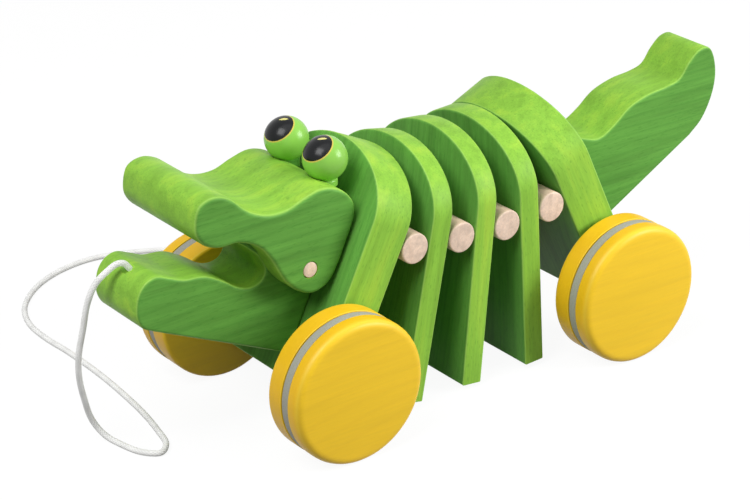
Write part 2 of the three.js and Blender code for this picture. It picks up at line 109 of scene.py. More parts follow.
def catmull(points: np.ndarray, closed: bool, per_segment: int) -> np.ndarray:
    """A centripetal Catmull-Rom curve: cubic pieces whose end slopes come from the square roots
    of the distances between neighbouring points.

    Args:
        points: the points that the curve passes through, one row each.
        closed: whether the last point joins the first.
        per_segment: samples of each piece.

    Returns:
        The samples, with the last point added where the curve is open.
    """
    p = np.asarray(points, float)
    if closed:
        ring = [np.roll(p, shift, axis=0) for shift in (1, 0, -1, -2)]
    else:
        wide = np.vstack([2 * p[0] - p[1], p, 2 * p[-1] - p[-2]])
        ring = [wide[i : len(wide) - 3 + i] for i in range(4)]
    a, b, c, d = ring
    before, here, after = (
        np.sqrt(np.linalg.norm(q - r, axis=1))[:, None] for q, r in ((b, a), (c, b), (d, c))
    )
    leave = ((b - a) / before - (c - a) / (before + here) + (c - b) / here) * here
    arrive = ((c - b) / here - (d - b) / (here + after) + (d - c) / after) * here
    t = (np.arange(per_segment) / per_segment)[None, :, None]
    b, c, leave, arrive = (v[:, None, :] for v in (b, c, leave, arrive))
    curve = (
        b * (2 * t**3 - 3 * t**2 + 1)
        + leave * (t**3 - 2 * t**2 + t)
        + c * (3 * t**2 - 2 * t**3)
        + arrive * (t**3 - t**2)
    ).reshape(-1, p.shape[1])
    return curve if closed else np.vstack([curve, p[-1]])


@dataclass
class Solid:
    """A closed surface in millimetres: its corners and its faces."""

    points: np.ndarray
    faces: list[list[int]]

    def placed(self, matrix: np.ndarray) -> "Solid":
        """The same surface carried by a 4 by 4 matrix.

        Args:
            matrix: the placing, rotation then translation.

        Returns:
            The surface in its new place.
        """
        moved = self.points @ matrix[:3, :3].T + matrix[:3, 3]
        return Solid(moved, self.faces)

    def outward(self) -> "Solid":
        """The surface with its faces pointing out: six times the volume is the sum, over every
        triangle of every face, of the triple product of its corners, and it has to be positive.

        Returns:
            This surface, turned where that sum is negative.
        """
        fans = np.array(
            [(f[0], f[i], f[i + 1]) for f in self.faces for i in range(1, len(f) - 1)], int
        )
        a, b, c = (self.points[fans[:, i]] for i in range(3))
        if np.einsum("ij,ij->i", a, np.cross(b, c)).sum() < 0:
            return Solid(self.points, [f[::-1] for f in self.faces])
        return self


def strips(rows: int, columns: int, wrap: bool = False) -> list[list[int]]:
    """Four-sided faces of a grid whose columns close on themselves.

    Args:
        rows: rows of points.
        columns: points in each row.
        wrap: whether the last row joins the first.

    Returns:
        The faces, as indices into the grid read row by row.
    """
    count = rows if wrap else rows - 1
    i, j = np.meshgrid(np.arange(count), np.arange(columns), indexing="ij")
    following, beside = (i + 1) % rows, (j + 1) % columns
    here, there = i * columns, following * columns
    quads = [here + j, here + beside, there + beside, there + j]
    return np.stack([q.ravel() for q in quads], axis=1).tolist()


def lidded(points: np.ndarray, columns: int) -> Solid:
    """A tube of rings closed by a flat face at each end.

    Args:
        points: the rings, one after another.
        columns: points in each ring.

    Returns:
        The closed tube.
    """
    count = len(points)
    lids = [list(range(columns)), list(range(count - columns, count))[::-1]]
    return Solid(points, strips(count // columns, columns) + lids).outward()


def pointed(rings: np.ndarray, columns: int, poles: Sequence[Sequence[float]]) -> Solid:
    """A tube of rings closed by a fan from a point at each end.

    Args:
        rings: the rings, one after another.
        columns: points in each ring.
        poles: the point before the first ring and the one after the last.

    Returns:
        The closed body.
    """
    first, start = len(rings), len(rings) - columns
    j = np.arange(columns)
    beside = (j + 1) % columns
    faces = strips(len(rings) // columns, columns)
    faces += np.stack([np.full(columns, first), beside, j], axis=1).tolist()
    faces += np.stack([np.full(columns, first + 1), start + j, start + beside], axis=1).tolist()
    return Solid(np.vstack([rings, poles]), faces).outward()


def inset(outline: np.ndarray, distance: float) -> np.ndarray:
    """An outline moved inwards: each corner goes along the mean of its two side normals, further
    where the corner is sharp, so that both sides move by the same distance.

    Args:
        outline: corners, anticlockwise.
        distance: how far the sides move.

    Returns:
        The moved corners.
    """
    ahead = np.roll(outline, -1, axis=0) - outline
    ahead /= np.linalg.norm(ahead, axis=1, keepdims=True)
    normal = np.stack([-ahead[:, 1], ahead[:, 0]], axis=1)
    mitre = normal + np.roll(normal, 1, axis=0)
    mitre /= np.maximum((mitre**2).sum(axis=1, keepdims=True) / 2, 0.5)
    return outline + distance * mitre


def board(outline: np.ndarray, thickness: float, edge_round: float, steps: int = 4) -> Solid:
    """A flat board with quarter-round edges. At angle a of the round, the outline is inset by
    r (1 - sin a) and lies r (1 - cos a) below the face.

    Args:
        outline: the widest outline, in the board's own plane.
        thickness: from face to face, along the third axis and centred on it.
        edge_round: radius of the edges; 0 leaves them sharp.
        steps: facets across each edge.

    Returns:
        The board, with the outline in x and y and the thickness along z.
    """
    x, y = outline.T
    if (x * np.roll(y, -1) - y * np.roll(x, -1)).sum() < 0:
        outline = outline[::-1]
    half = thickness / 2
    if edge_round:
        angle = np.linspace(0, math.pi / 2, steps + 1)
        depth = [edge_round + HOLD, *(edge_round * (1 - np.sin(angle)))]
        level = [half, *(half - edge_round * (1 - np.cos(angle)))]
    else:
        depth, level = [0.0], [half]
    depth, level = depth + depth[::-1], level + [-z for z in level[::-1]]
    rows = [np.c_[inset(outline, d), np.full(len(outline), z)] for d, z in zip(depth, level)]
    return lidded(np.vstack(rows), len(outline))


def revolve(profile: Sequence[tuple[float, float]], segments: int, ring: bool = False) -> Solid:
    """A turned body: each (radius, height) of the profile runs once round the z axis.

    Args:
        profile: radii and heights; it starts and ends on the axis unless it is a ring.
        segments: steps round the axis.
        ring: whether the profile closes on itself, clear of the axis.

    Returns:
        The body about the z axis.
    """
    radius, height = np.array(profile, float).T
    turn = np.linspace(0, 2 * math.pi, segments, endpoint=False)
    if not ring:
        radius, height, ends = radius[1:-1], height[1:-1], height[[0, -1]]
    grid = np.stack(
        [
            radius[:, None] * np.cos(turn),
            radius[:, None] * np.sin(turn),
            np.repeat(height[:, None], segments, axis=1),
        ],
        axis=-1,
    ).reshape(-1, 3)
    if ring:
        return Solid(grid, strips(len(radius), segments, wrap=True)).outward()
    return pointed(grid, segments, [(0, 0, ends[0]), (0, 0, ends[1])])


def rounded(profile: Sequence[tuple[float, float, float]], steps: int = 4) -> list[tuple[float, float]]:
    """A profile whose corners are rounded: each corner is a quadratic curve between points its
    own radius away along its two sides.

    Args:
        profile: radius, height and rounding of each corner.
        steps: pieces of each round corner.

    Returns:
        The (radius, height) points.
    """
    corners = [np.array(c[:2], float) for c in profile]
    out: list[tuple[float, float]] = []
    for i, (corner, (_, _, size)) in enumerate(zip(corners, profile)):
        if size == 0:
            out.append(tuple(corner))
            continue
        into, away = corners[i - 1] - corner, corners[(i + 1) % len(corners)] - corner
        start = corner + into / np.linalg.norm(into) * size
        stop = corner + away / np.linalg.norm(away) * size
        t = np.linspace(0, 1, steps + 1)[:, None]
        out += [tuple(q) for q in (1 - t) ** 2 * start + 2 * t * (1 - t) * corner + t**2 * stop]
    return out


def aimed(start: Sequence[float], direction: Sequence[float]) -> np.ndarray:
    """The placing that carries the z axis onto a direction and the origin onto a point.

    Args:
        start: where the origin goes.
        direction: where the z axis points.

    Returns:
        A 4 by 4 matrix.
    """
    turn = Vector(direction).to_track_quat("Z", "Y").to_matrix().to_4x4()
    return np.array(Matrix.Translation(Vector(start)) @ turn)


def rod(
    start: Sequence[float], end: Sequence[float], radius: float, ease: float = 0.0, sides: int = 40
) -> Solid:
    """A round bar from one point to another.

    Args:
        start: the middle of one end.
        end: the middle of the other.
        radius: its radius.
        ease: rounding of its two rims.
        sides: steps round it.

    Returns:
        The bar.
    """
    run = np.subtract(end, start)
    length = float(np.linalg.norm(run))
    profile = rounded([(0, 0, 0), (radius, 0, ease), (radius, length, ease), (0, length, 0)])
    return revolve(profile, sides).placed(aimed(start, run))


# carries a board drawn in x and y into the side view, its thickness along Y
SIDE = np.array([[1, 0, 0, 0], [0, 0, -1, 0], [0, 1, 0, 0], [0, 0, 0, 1]], float)


# ---- finishes -------------------------------------------------------------------------------


def linear(code: str) -> tuple[float, float, float, float]:
    """A colour written as sRGB hex, as linear light.

    Args:
        code: six hex digits after a hash.

    Returns:
        Red, green, blue and an alpha of 1.
    """
    parts = [int(code[i : i + 2], 16) / 255 for i in (1, 3, 5)]
    light = [p / 12.92 if p <= 0.04045 else ((p + 0.055) / 1.055) ** 2.4 for p in parts]
    return (*light, 1.0)


Tree = bpy.types.NodeTree
Socket = bpy.types.NodeSocket


def add(tree: Tree, kind: str, settings: dict, out: int | str = 0) -> Socket | None:
    """Adds one node to a tree: a socket among its settings is linked, anything else is stored.

    Args:
        tree: the node tree.
        kind: the node's type, without the word ShaderNode.
        settings: inputs by name or number, and properties by name.
        out: the output that is wanted, by name or number.

    Returns:
        That output, or None where the node has none.
    """
    node = tree.nodes.new(f"ShaderNode{kind}")
    for key, value in settings.items():
        if isinstance(value, bpy.types.NodeSocket):
            tree.links.new(value, node.inputs[key])
        elif isinstance(key, int) or key in node.inputs:
            node.inputs[key].default_value = value
        else:
            setattr(node, key, value)
    return node.outputs[out] if node.outputs else None


def blank(name: str) -> tuple[bpy.types.Material, Tree]:
    """A new material with an empty tree.

    Args:
        name: the finish's name.

    Returns:
        The material and its tree.
    """
    material = bpy.data.materials.new(name)
    material.use_nodes = True
    material.node_tree.nodes.clear()
    return material, material.node_tree


def surface(tree: Tree, settings: dict) -> None:
    """Adds the shader and the output.

    Args:
        tree: the material's node tree.
        settings: fixed values and sockets for the shader's inputs.
    """
    add(tree, "OutputMaterial", {"Surface": add(tree, "BsdfPrincipled", settings)})


@dataclass(frozen=True)
class StainedBeech:
    """Beech, sanded and dipped in a thin stain. The stain sinks deeper into the sawn faces than
    into the sanded edges, so edges are paler, and the growth streaks, the rings and the short
    dark flecks of beech show through. The grain attribute holds metres along the grain, across
    it and through the board; the across attribute is 1 on a face and 0 on an edge."""

    name: str
    edge: str
    face: str
    fleck: str
    # rim: the colour of a painted highlight along the middle of each rounded edge
    rim: str
    roughness: float = 0.42
    gloss_spread: tuple[float, float] = (0.07, 0.1)  # smoother and rougher than that by so much
    ior: float = 1.18  # a thin stain leaves the wood half open, so it shines less than a lacquer
    streak_mm: tuple[float, float] = (60.0, 6.5)  # growth streaks: length and width
    fibre_mm: tuple[float, float] = (22.0, 0.9)  # drawn coarser than real fibres so they show
    fleck_mm: tuple[float, float] = (3.2, 0.5)
    noise_roughness: float = 0.55
    noise_bend: float = 0.25
    fleck_band: tuple[float, float] = (0.60, 0.70)  # the noise from no fleck to a full one
    fleck_share: float = 0.3
    tone_band: tuple[float, float] = (0.3, 0.7)
    streak_depth: float = 0.16
    fibre_depth: float = 0.065
    warm: str = "#A9BE3F"
    warm_band: tuple[float, float] = (0.5, 0.75)
    warm_share: float = 0.4
    face_band: tuple[float, float] = (0.45, 0.95)  # from edge to sawn face
    ring_mm: float = 4.6
    ring_stretch: float = 0.3
    ring_band: tuple[float, float] = (0.72, 0.98)
    ring_share: float = 0.17
    ring_wander: tuple[float, float, float] = (26.0, 1.5, 0.3)  # distortion, its detail and scale
    edge_highlight_band: tuple[float, float] = (0.12, 0.5)
    edge_highlight_share: float = 0.45
    bump: float = 0.25
    bump_mm: float = 0.12

    def build(self) -> bpy.types.Material:
        """Lays the finish up: edge and face colours, streaks and fibres as a factor of 1 plus or minus
        their depths, rings and flecks over them, and last a painted highlight: a pale line along the
        middle of each rounded edge.

        Returns:
            The material.
        """
        material, tree = blank(self.name)
        grain = add(tree, "Attribute", {"attribute_name": "grain"}, "Vector")
        across = add(tree, "Attribute", {"attribute_name": "across"}, "Fac")
        noise = {}
        for key, (long, wide), detail in (
            ("streak", self.streak_mm, 3.0),
            ("fibre", self.fibre_mm, 2.0),
            ("fleck", self.fleck_mm, 1.0),
        ):
            scale = (1 / (long * MM), 1 / (wide * MM), 1 / (wide * MM))
            place = add(tree, "Mapping", {"Scale": scale, "Vector": grain})
            noise[key] = add(tree, "TexNoise", {
                "Scale": 1.0, "Detail": detail, "Roughness": self.noise_roughness,
                "Distortion": self.noise_bend, "Vector": place,
            }, "Fac")
        low, high = self.face_band
        facing = add(tree, "MapRange", {
            "interpolation_type": "SMOOTHSTEP", "From Min": low, "From Max": high, "Value": across,
        })
        low, high = self.warm_band
        heart = add(tree, "MapRange", {
            "From Min": low, "From Max": high, "To Max": self.warm_share, "Value": noise["streak"],
        })
        edge, warm, face, fleck, rim = (
            linear(c) for c in (self.edge, self.warm, self.face, self.fleck, self.rim)
        )
        pale = add(tree, "Mix", {"data_type": "RGBA", 0: heart, 6: edge, 7: warm}, 2)
        base = add(tree, "Mix", {"data_type": "RGBA", 0: facing, 6: pale, 7: face}, 2)
        low, high = self.tone_band
        streak, fibre = (
            add(tree, "MapRange", {
                "From Min": low, "From Max": high, "To Min": 1 - depth, "To Max": 1 + depth,
                "Value": noise[key],
            })
            for key, depth in (("streak", self.streak_depth), ("fibre", self.fibre_depth))
        )
        tone = add(tree, "Math", {"operation": "MULTIPLY", 0: streak, 1: fibre})
        toned = add(tree, "VectorMath", {"operation": "SCALE", "Vector": base, "Scale": tone})
        slow = add(tree, "Mapping", {"Scale": (self.ring_stretch, 1.0, 1.0), "Vector": grain})
        distortion, detail, detail_scale = self.ring_wander
        rings = add(tree, "TexWave", {
            "bands_direction": "Y", "Scale": math.pi / 10 / (self.ring_mm * MM),
            "Distortion": distortion, "Detail": detail, "Detail Scale": detail_scale, "Vector": slow,
        }, "Fac")
        low, high = self.ring_band
        lines = add(tree, "MapRange", {
            "From Min": low, "From Max": high, "To Max": self.ring_share, "Value": rings,
        })
        lines = add(tree, "Math", {"operation": "MULTIPLY", 0: lines, 1: facing})
        toned = add(tree, "Mix", {"data_type": "RGBA", 0: lines, 6: toned, 7: fleck}, 2)
        low, high = self.fleck_band
        dots = add(tree, "MapRange", {
            "From Min": low, "From Max": high, "To Max": self.fleck_share, "Value": noise["fleck"],
        })
        flecked = add(tree, "Mix", {"data_type": "RGBA", 0: dots, 6: toned, 7: fleck}, 2)
        # painted highlight: a pale line along the middle of each rounded edge, where the edge catches the
        # light
        bend = add(tree, "Math", {"operation": "PINGPONG", 1: 0.5, 0: across})
        low, high = self.edge_highlight_band
        edge_highlight = add(tree, "MapRange", {
            "From Min": low, "From Max": high, "To Max": self.edge_highlight_share, "Value": bend,
        })
        colour = add(tree, "Mix", {"data_type": "RGBA", 0: edge_highlight, 6: flecked, 7: rim}, 2)
        less, more = self.gloss_spread
        gloss = add(tree, "MapRange", {
            "To Min": self.roughness - less, "To Max": self.roughness + more, "Value": noise["fibre"],
        })
        bump = add(tree, "Bump", {
            "Strength": self.bump, "Distance": self.bump_mm * MM, "Height": noise["fibre"],
        })
        surface(tree, {"IOR": self.ior, "Base Color": colour, "Roughness": gloss, "Normal": bump})
        return material


@dataclass(frozen=True)
class EyeEnamel:
    """Gloss enamel sprayed on a turned ball: green body, black pupil with a fine yellow outline
    and a yellow fleck. The gaze attribute is the cosine of the angle from the pupil's middle and
    the glint attribute is below 1 inside the fleck."""

    name: str = "sprayed_eye_enamel"
    body: str = "#8FCC54"
    outline: str = "#D8C65C"
    pupil: str = "#0B0D10"
    fleck: str = "#E6E08A"
    pupil_half_angle: float = 45.5
    outline_width: float = 3.2
    soft: float = 0.006  # half the width of a painted edge, as a cosine
    fleck_band: tuple[float, float] = (1.12, 0.9)
    roughness: float = 0.24
    ior: float = 1.33
    peel_mm: float = 1.6  # orange peel of the spray
    bump: float = 0.05
    bump_mm: float = 0.1

    def build(self) -> bpy.types.Material:
        """Paints the body, then the outline's disc, the pupil's disc and the fleck over it.

        Returns:
            The material.
        """
        material, tree = blank(self.name)
        gaze = add(tree, "Attribute", {"attribute_name": "gaze"}, "Fac")
        glint = add(tree, "Attribute", {"attribute_name": "glint"}, "Fac")
        colour = linear(self.body)
        for angle, paint in (
            (self.pupil_half_angle + self.outline_width, self.outline),
            (self.pupil_half_angle, self.pupil),
        ):
            rim = math.cos(math.radians(angle))
            disc = add(tree, "MapRange", {
                "From Min": rim - self.soft, "From Max": rim + self.soft, "Value": gaze,
            })
            colour = add(tree, "Mix", {"data_type": "RGBA", 0: disc, 6: colour, 7: linear(paint)}, 2)
        outside, inside = self.fleck_band
        mark = add(tree, "MapRange", {"From Min": outside, "From Max": inside, "Value": glint})
        colour = add(tree, "Mix", {"data_type": "RGBA", 0: mark, 6: colour, 7: linear(self.fleck)}, 2)
        place = add(tree, "TexCoord", {}, "Object")
        peel_settings = {"Scale": 1 / (self.peel_mm * MM), "Detail": 1.0, "Vector": place}
        peel = add(tree, "TexNoise", peel_settings, "Fac")
        bump = add(tree, "Bump", {
            "Strength": self.bump, "Distance": self.bump_mm * MM, "Height": peel,
        })
        surface(tree, {
            "Roughness": self.roughness, "IOR": self.ior, "Base Color": colour, "Normal": bump,
        })
        return material


@dataclass(frozen=True)
class Plain:
    """A finish of one colour, finely mottled, whose gloss and bump follow the mottle: moulded
    rubber or nylon, or drawn steel."""

    name: str
    colour: str
    shade: str
    roughness: float
    metal: bool = False
    spot_mm: float = 0.6
    spot_band: tuple[float, float] = (0.35, 0.7)
    gloss_spread: tuple[float, float] = (0.06, 0.08)
    bump: float = 0.15
    bump_mm: float = 0.1
    ior: float = 1.5

    def build(self) -> bpy.types.Material:
        """Mottles the colour, the gloss and the bump with one noise; metal keeps its own IOR.

        Returns:
            The material.
        """
        material, tree = blank(self.name)
        place = add(tree, "TexCoord", {}, "Object")
        spots = add(tree, "TexNoise", {
            "Scale": 1 / (self.spot_mm * MM), "Detail": 2.0, "Roughness": 0.6, "Vector": place,
        }, "Fac")
        low, high = self.spot_band
        share = add(tree, "MapRange", {"From Min": low, "From Max": high, "Value": spots})
        main_colour, shade = linear(self.colour), linear(self.shade)
        colour = add(tree, "Mix", {"data_type": "RGBA", 0: share, 6: main_colour, 7: shade}, 2)
        less, more = self.gloss_spread
        gloss = add(tree, "MapRange", {
            "To Min": self.roughness - less, "To Max": self.roughness + more, "Value": spots,
        })
        bump = add(tree, "Bump", {
            "Strength": self.bump, "Distance": self.bump_mm * MM, "Height": spots,
        })
        kind = {"Metallic": 1.0} if self.metal else {"IOR": self.ior}
        surface(tree, {**kind, "Base Color": colour, "Roughness": gloss, "Normal": bump})
        return material


@dataclass(frozen=True)
class BraidedCotton:
    """White braided cord: two sets of strands wound opposite ways. The relief attribute is 1 on a
    strand's crown and 0 in the groove between strands, where the colour is greyed as painted shade.
    A small emission is a painted glow that stands in for light bounced onto the cord."""

    name: str
    crown: str
    groove: str
    # painted glow: emission that stands in for light bounced onto the cord
    painted_glow: float = 0.0
    groove_shade_band: tuple[float, float] = (0.15, 0.85)
    roughness: float = 0.85
    ior: float = 1.5
    fuzz_mm: float = 0.25
    bump: float = 0.3
    bump_mm: float = 0.1

    def build(self) -> bpy.types.Material:
        """Grades the colour from painted grey shade in the grooves to the white crowns, adds the painted
        glow and roughens it with fibre fuzz.

        Returns:
            The material.
        """
        material, tree = blank(self.name)
        relief = add(tree, "Attribute", {"attribute_name": "relief"}, "Fac")
        low, high = self.groove_shade_band
        share = add(tree, "MapRange", {"From Min": low, "From Max": high, "Value": relief})
        # painted shade: the grooves between strands are greyed
        groove, crown = linear(self.groove), linear(self.crown)
        colour = add(tree, "Mix", {"data_type": "RGBA", 0: share, 6: groove, 7: crown}, 2)
        place = add(tree, "TexCoord", {}, "Object")
        fuzz_settings = {"Scale": 1 / (self.fuzz_mm * MM), "Detail": 2.0, "Vector": place}
        fuzz = add(tree, "TexNoise", fuzz_settings, "Fac")
        bump = add(tree, "Bump", {
            "Strength": self.bump, "Distance": self.bump_mm * MM, "Height": fuzz,
        })
        # the emission is painted glow, not a lamp
        surface(tree, {
            "Roughness": self.roughness, "IOR": self.ior, "Emission Strength": self.painted_glow,
            "Base Color": colour, "Emission Color": colour, "Normal": bump,
        })
        return material


FINISHES = {
    # beech dipped in thin green stain: pale edges, darker sawn faces, growth lines showing
    Look.GREEN: StainedBeech("green_stained_beech", "#90C648", "#66A346", "#3E7E2E", "#ACDC74"),
    # beech under an even opaque yellow stain: the grain hardly shows
    Look.YELLOW: StainedBeech(
        "yellow_stained_beech", "#F6C21E", "#F8CC26", "#DDA820", "#FFE24A", ior=1.4,
        streak_mm=(70.0, 9.0), fleck_share=0.1, streak_depth=0.03, warm="#F2BE2A",
        ring_mm=7.0, ring_share=0.08, fibre_depth=0.02,
    ),
    # sanded beech with no stain: pinkish, matt, with soft streaks
    Look.PLAIN: StainedBeech(
        "natural_beech", "#E6C9B0", "#E9D0BC", "#C79E80", "#F0DCCB", roughness=0.58,
        streak_mm=(40.0, 4.0), warm="#E2BFA6", ring_share=0.1, ior=1.3,
    ),
    Look.ENAMEL: EyeEnamel(),
    # rubber moulded in a dull tool: even grey and matt
    Look.RUBBER: Plain("moulded_grey_rubber", "#ABABA0", "#9C9C90", 0.72, spot_mm=0.5),
    # steel rod drawn through a die: bright, with a fine haze
    Look.STEEL: Plain("drawn_steel", "#B8BABD", "#A4A7AA", 0.3, metal=True, spot_mm=0.4),
    # nylon moulded in a smooth tool: off-white with a soft gloss
    Look.NYLON: Plain("moulded_nylon", "#E9E9E4", "#DCDCD4", 0.45, spot_mm=1.2),
    # elastic woven over rubber threads: cream, with painted grey shade between its strands
    Look.ELASTIC: BraidedCotton("woven_elastic", "#E8E6DF", "#BDB9AC"),
    # cotton braided and bleached: bright white, with painted grey shade in the grooves and a small painted
    # glow
    Look.CORD: BraidedCotton("braided_cotton_cord", "#FAFAF8", "#D4D4D2", 0.2),
}


# ---- the bench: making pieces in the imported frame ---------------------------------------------


@dataclass
class Bench:
    """Where every piece is put together: it holds the shift from the maker's frame to the packed
    one, makes the meshes, dresses them and hands them to the frame."""

    bodies: dict[str, str]  # the body that each plain piece belongs to
    pin_x: float = 71.2  # the hinge pin in the maker's frame
    grain_step: tuple[float, float, float] = (0.37, 0.113, 0.071)  # between pieces, in metres
    finishes: dict = field(default_factory=dict)
    grain_seed: int = 0

    def __post_init__(self) -> None:
        """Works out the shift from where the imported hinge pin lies."""
        low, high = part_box("jaw_pin")
        self.shift = (low.x + high.x) / 2 / MM - self.pin_x
        self.finishes = {key: finish.build() for key, finish in FINISHES.items()}

    def point(self, xyz: Sequence[float]) -> Vector:
        """A point of the maker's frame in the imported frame, in metres."""
        return Vector(((xyz[0] + self.shift) * MM, xyz[1] * MM, xyz[2] * MM))

    def mesh(self, name: str, solid: Solid) -> bpy.types.Object:
        """Makes an object of a solid, at the origin, with its place in its mesh.

        Args:
            name: the piece's name.
            solid: its surface in the maker's frame.

        Returns:
            The object.
        """
        data = bpy.data.meshes.new(name)
        points = (solid.points + [self.shift, 0, 0]) * MM
        data.from_pydata(points.tolist(), [], solid.faces)
        data.update()
        piece = bpy.data.objects.new(name, data)
        bpy.context.scene.collection.objects.link(piece)
        return piece

    def carve(self, name: str, blank_solid: Solid, cutters: Sequence[Solid]) -> bpy.types.Object:
        """Cuts holes and slots out of a blank.

        Args:
            name: the piece's name.
            blank_solid: what is cut.
            cutters: what is taken away, one after another.

        Returns:
            The carved object, with no modifier left.
        """
        piece = self.mesh(name, blank_solid)
        tools = [self.mesh(f"{name}_cutter_{i}", solid) for i, solid in enumerate(cutters)]
        for tool in tools:
            cut = piece.modifiers.new(tool.name, "BOOLEAN")
            cut.operation, cut.solver, cut.object = "DIFFERENCE", "EXACT", tool
        bpy.context.view_layer.update()
        ready = piece.evaluated_get(bpy.context.evaluated_depsgraph_get())
        carved = bpy.data.meshes.new_from_object(ready)
        piece.modifiers.clear()
        piece.data = carved
        for tool in tools:
            bpy.data.objects.remove(tool)
        return piece

    def smooth(self, piece: bpy.types.Object, sharp_degrees: float = 32.0) -> None:
        """Shades a piece smooth apart from its sharp edges.

        Args:
            piece: the piece.
            sharp_degrees: edges that turn more than this stay sharp.
        """
        faces = piece.data.polygons
        faces.foreach_set("use_smooth", np.ones(len(faces), bool))
        piece.data.set_sharp_from_angle(angle=math.radians(sharp_degrees))

    def corners(self, piece: bpy.types.Object) -> np.ndarray:
        """Where a piece's corners lie, in the maker's millimetres.

        Args:
            piece: the piece.

        Returns:
            One row for each corner.
        """
        places = np.zeros(len(piece.data.vertices) * 3, np.float32)
        piece.data.vertices.foreach_get("co", places)
        return places.reshape(-1, 3) / MM - [self.shift, 0, 0]

    def facing(self, piece: bpy.types.Object, face: Sequence[float]) -> None:
        """Stores, at each corner of each face, how squarely the shaded surface faces along a
        direction: 1 on a sawn face, 0 on an edge, and a sharp rim keeps the two apart.

        Args:
            piece: the piece.
            face: the normal of the sawn faces.
        """
        mesh = piece.data
        normals = np.zeros(len(mesh.loops) * 3, np.float32)
        mesh.corner_normals.foreach_get("vector", normals)
        made = mesh.attributes.new("across", "FLOAT", "CORNER")
        made.data.foreach_set("value", np.abs(normals.reshape(-1, 3) @ np.float32(face)))

    def attribute(self, piece: bpy.types.Object, name: str, values: np.ndarray) -> None:
        """Stores one number or one vector at each corner of a piece.

        Args:
            piece: the piece.
            name: what the material calls it.
            values: a number or three for each corner.
        """
        vector = values.ndim == 2
        kind = "FLOAT_VECTOR" if vector else "FLOAT"
        made = piece.data.attributes.new(name, kind, "POINT")
        made.data.foreach_set("vector" if vector else "value", values.astype(np.float32).ravel())

    def grain(
        self,
        piece: bpy.types.Object,
        along: Sequence[float],
        face: Sequence[float],
        sawn: Sequence[float] | None = None,
    ) -> None:
        """Lays the wood's grain through a piece: metres along the grain, across it and through
        the board, each piece from its own place in the tree.

        Args:
            piece: the piece.
            along: the grain's direction.
            face: the normal of the growth rings.
            sawn: the normal of the sawn faces, where it is another one.
        """
        places = self.corners(piece)
        length, through = np.array(along, float), np.array(face, float)
        wide = np.cross(through, length)
        self.grain_seed += 1
        offset = np.array(self.grain_step) * self.grain_seed
        frame = np.stack([length, wide, through], axis=1)
        self.attribute(piece, "grain", places @ frame * MM + offset)
        self.facing(piece, face if sawn is None else sawn)

    def wood(
        self,
        piece: bpy.types.Object,
        look: Look,
        node: str,
        along: Sequence[float] = Axis.X.value,
        face: Sequence[float] = Axis.Y.value,
        sawn: Sequence[float] | None = None,
    ) -> None:
        """Smooths a wooden piece, lays its grain and fits it.

        Args:
            piece: the piece.
            look: its finish.
            node: the plain piece that it stands for.
            along: the grain's direction.
            face: the normal of the growth rings.
            sawn: the normal of the sawn faces, where it is another one.
        """
        self.smooth(piece)
        self.grain(piece, along, face, sawn)
        self.fit(piece, look, node)

    def fit(self, piece: bpy.types.Object, look: Look, node: str) -> None:
        """Finishes a piece and puts it in place of its plain one.

        Args:
            piece: the piece.
            look: its finish.
            node: the plain piece that it stands for.
        """
        piece.data.materials.clear()
        piece.data.materials.append(self.finishes[look])
        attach(piece, self.bodies[node])
        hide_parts(node)
        LOG.info("%s stands for %s on %s", piece.name, node, self.bodies[node])


# ---- the toy -----------------------------------------------------------------------------------


@dataclass(frozen=True)
class Lean:
    """A leaning board: the arch's centre on its front face, its thickness and its pitch."""

    x: float
    z: float
    pitch: float
    thickness: float

    def on(self, forward: float, up: float) -> np.ndarray:
        """A point ahead of the front face and above the arch's centre."""
        c, s = math.cos(self.pitch), math.sin(self.pitch)
        return np.array([self.x + forward * c - up * s, 0.0, self.z + forward * s + up * c])

    def placing(self) -> np.ndarray:
        """The matrix from (width, height, forward) to the maker's frame."""
        c, s = math.cos(self.pitch), math.sin(self.pitch)
        return np.array([[0, -s, c, self.x], [1, 0, 0, 0], [0, c, s, self.z], [0, 0, 0, 1]], float)

    @staticmethod
    def through(
        point: Sequence[float], pitch: float, forward: float, up: float, thickness: float
    ) -> "Lean":
        """The board on which a given place falls on a given point."""
        back = Lean(point[0], point[2], pitch, thickness).on(-forward, -up)
        return Lean(float(back[0]), float(back[2]), pitch, thickness)


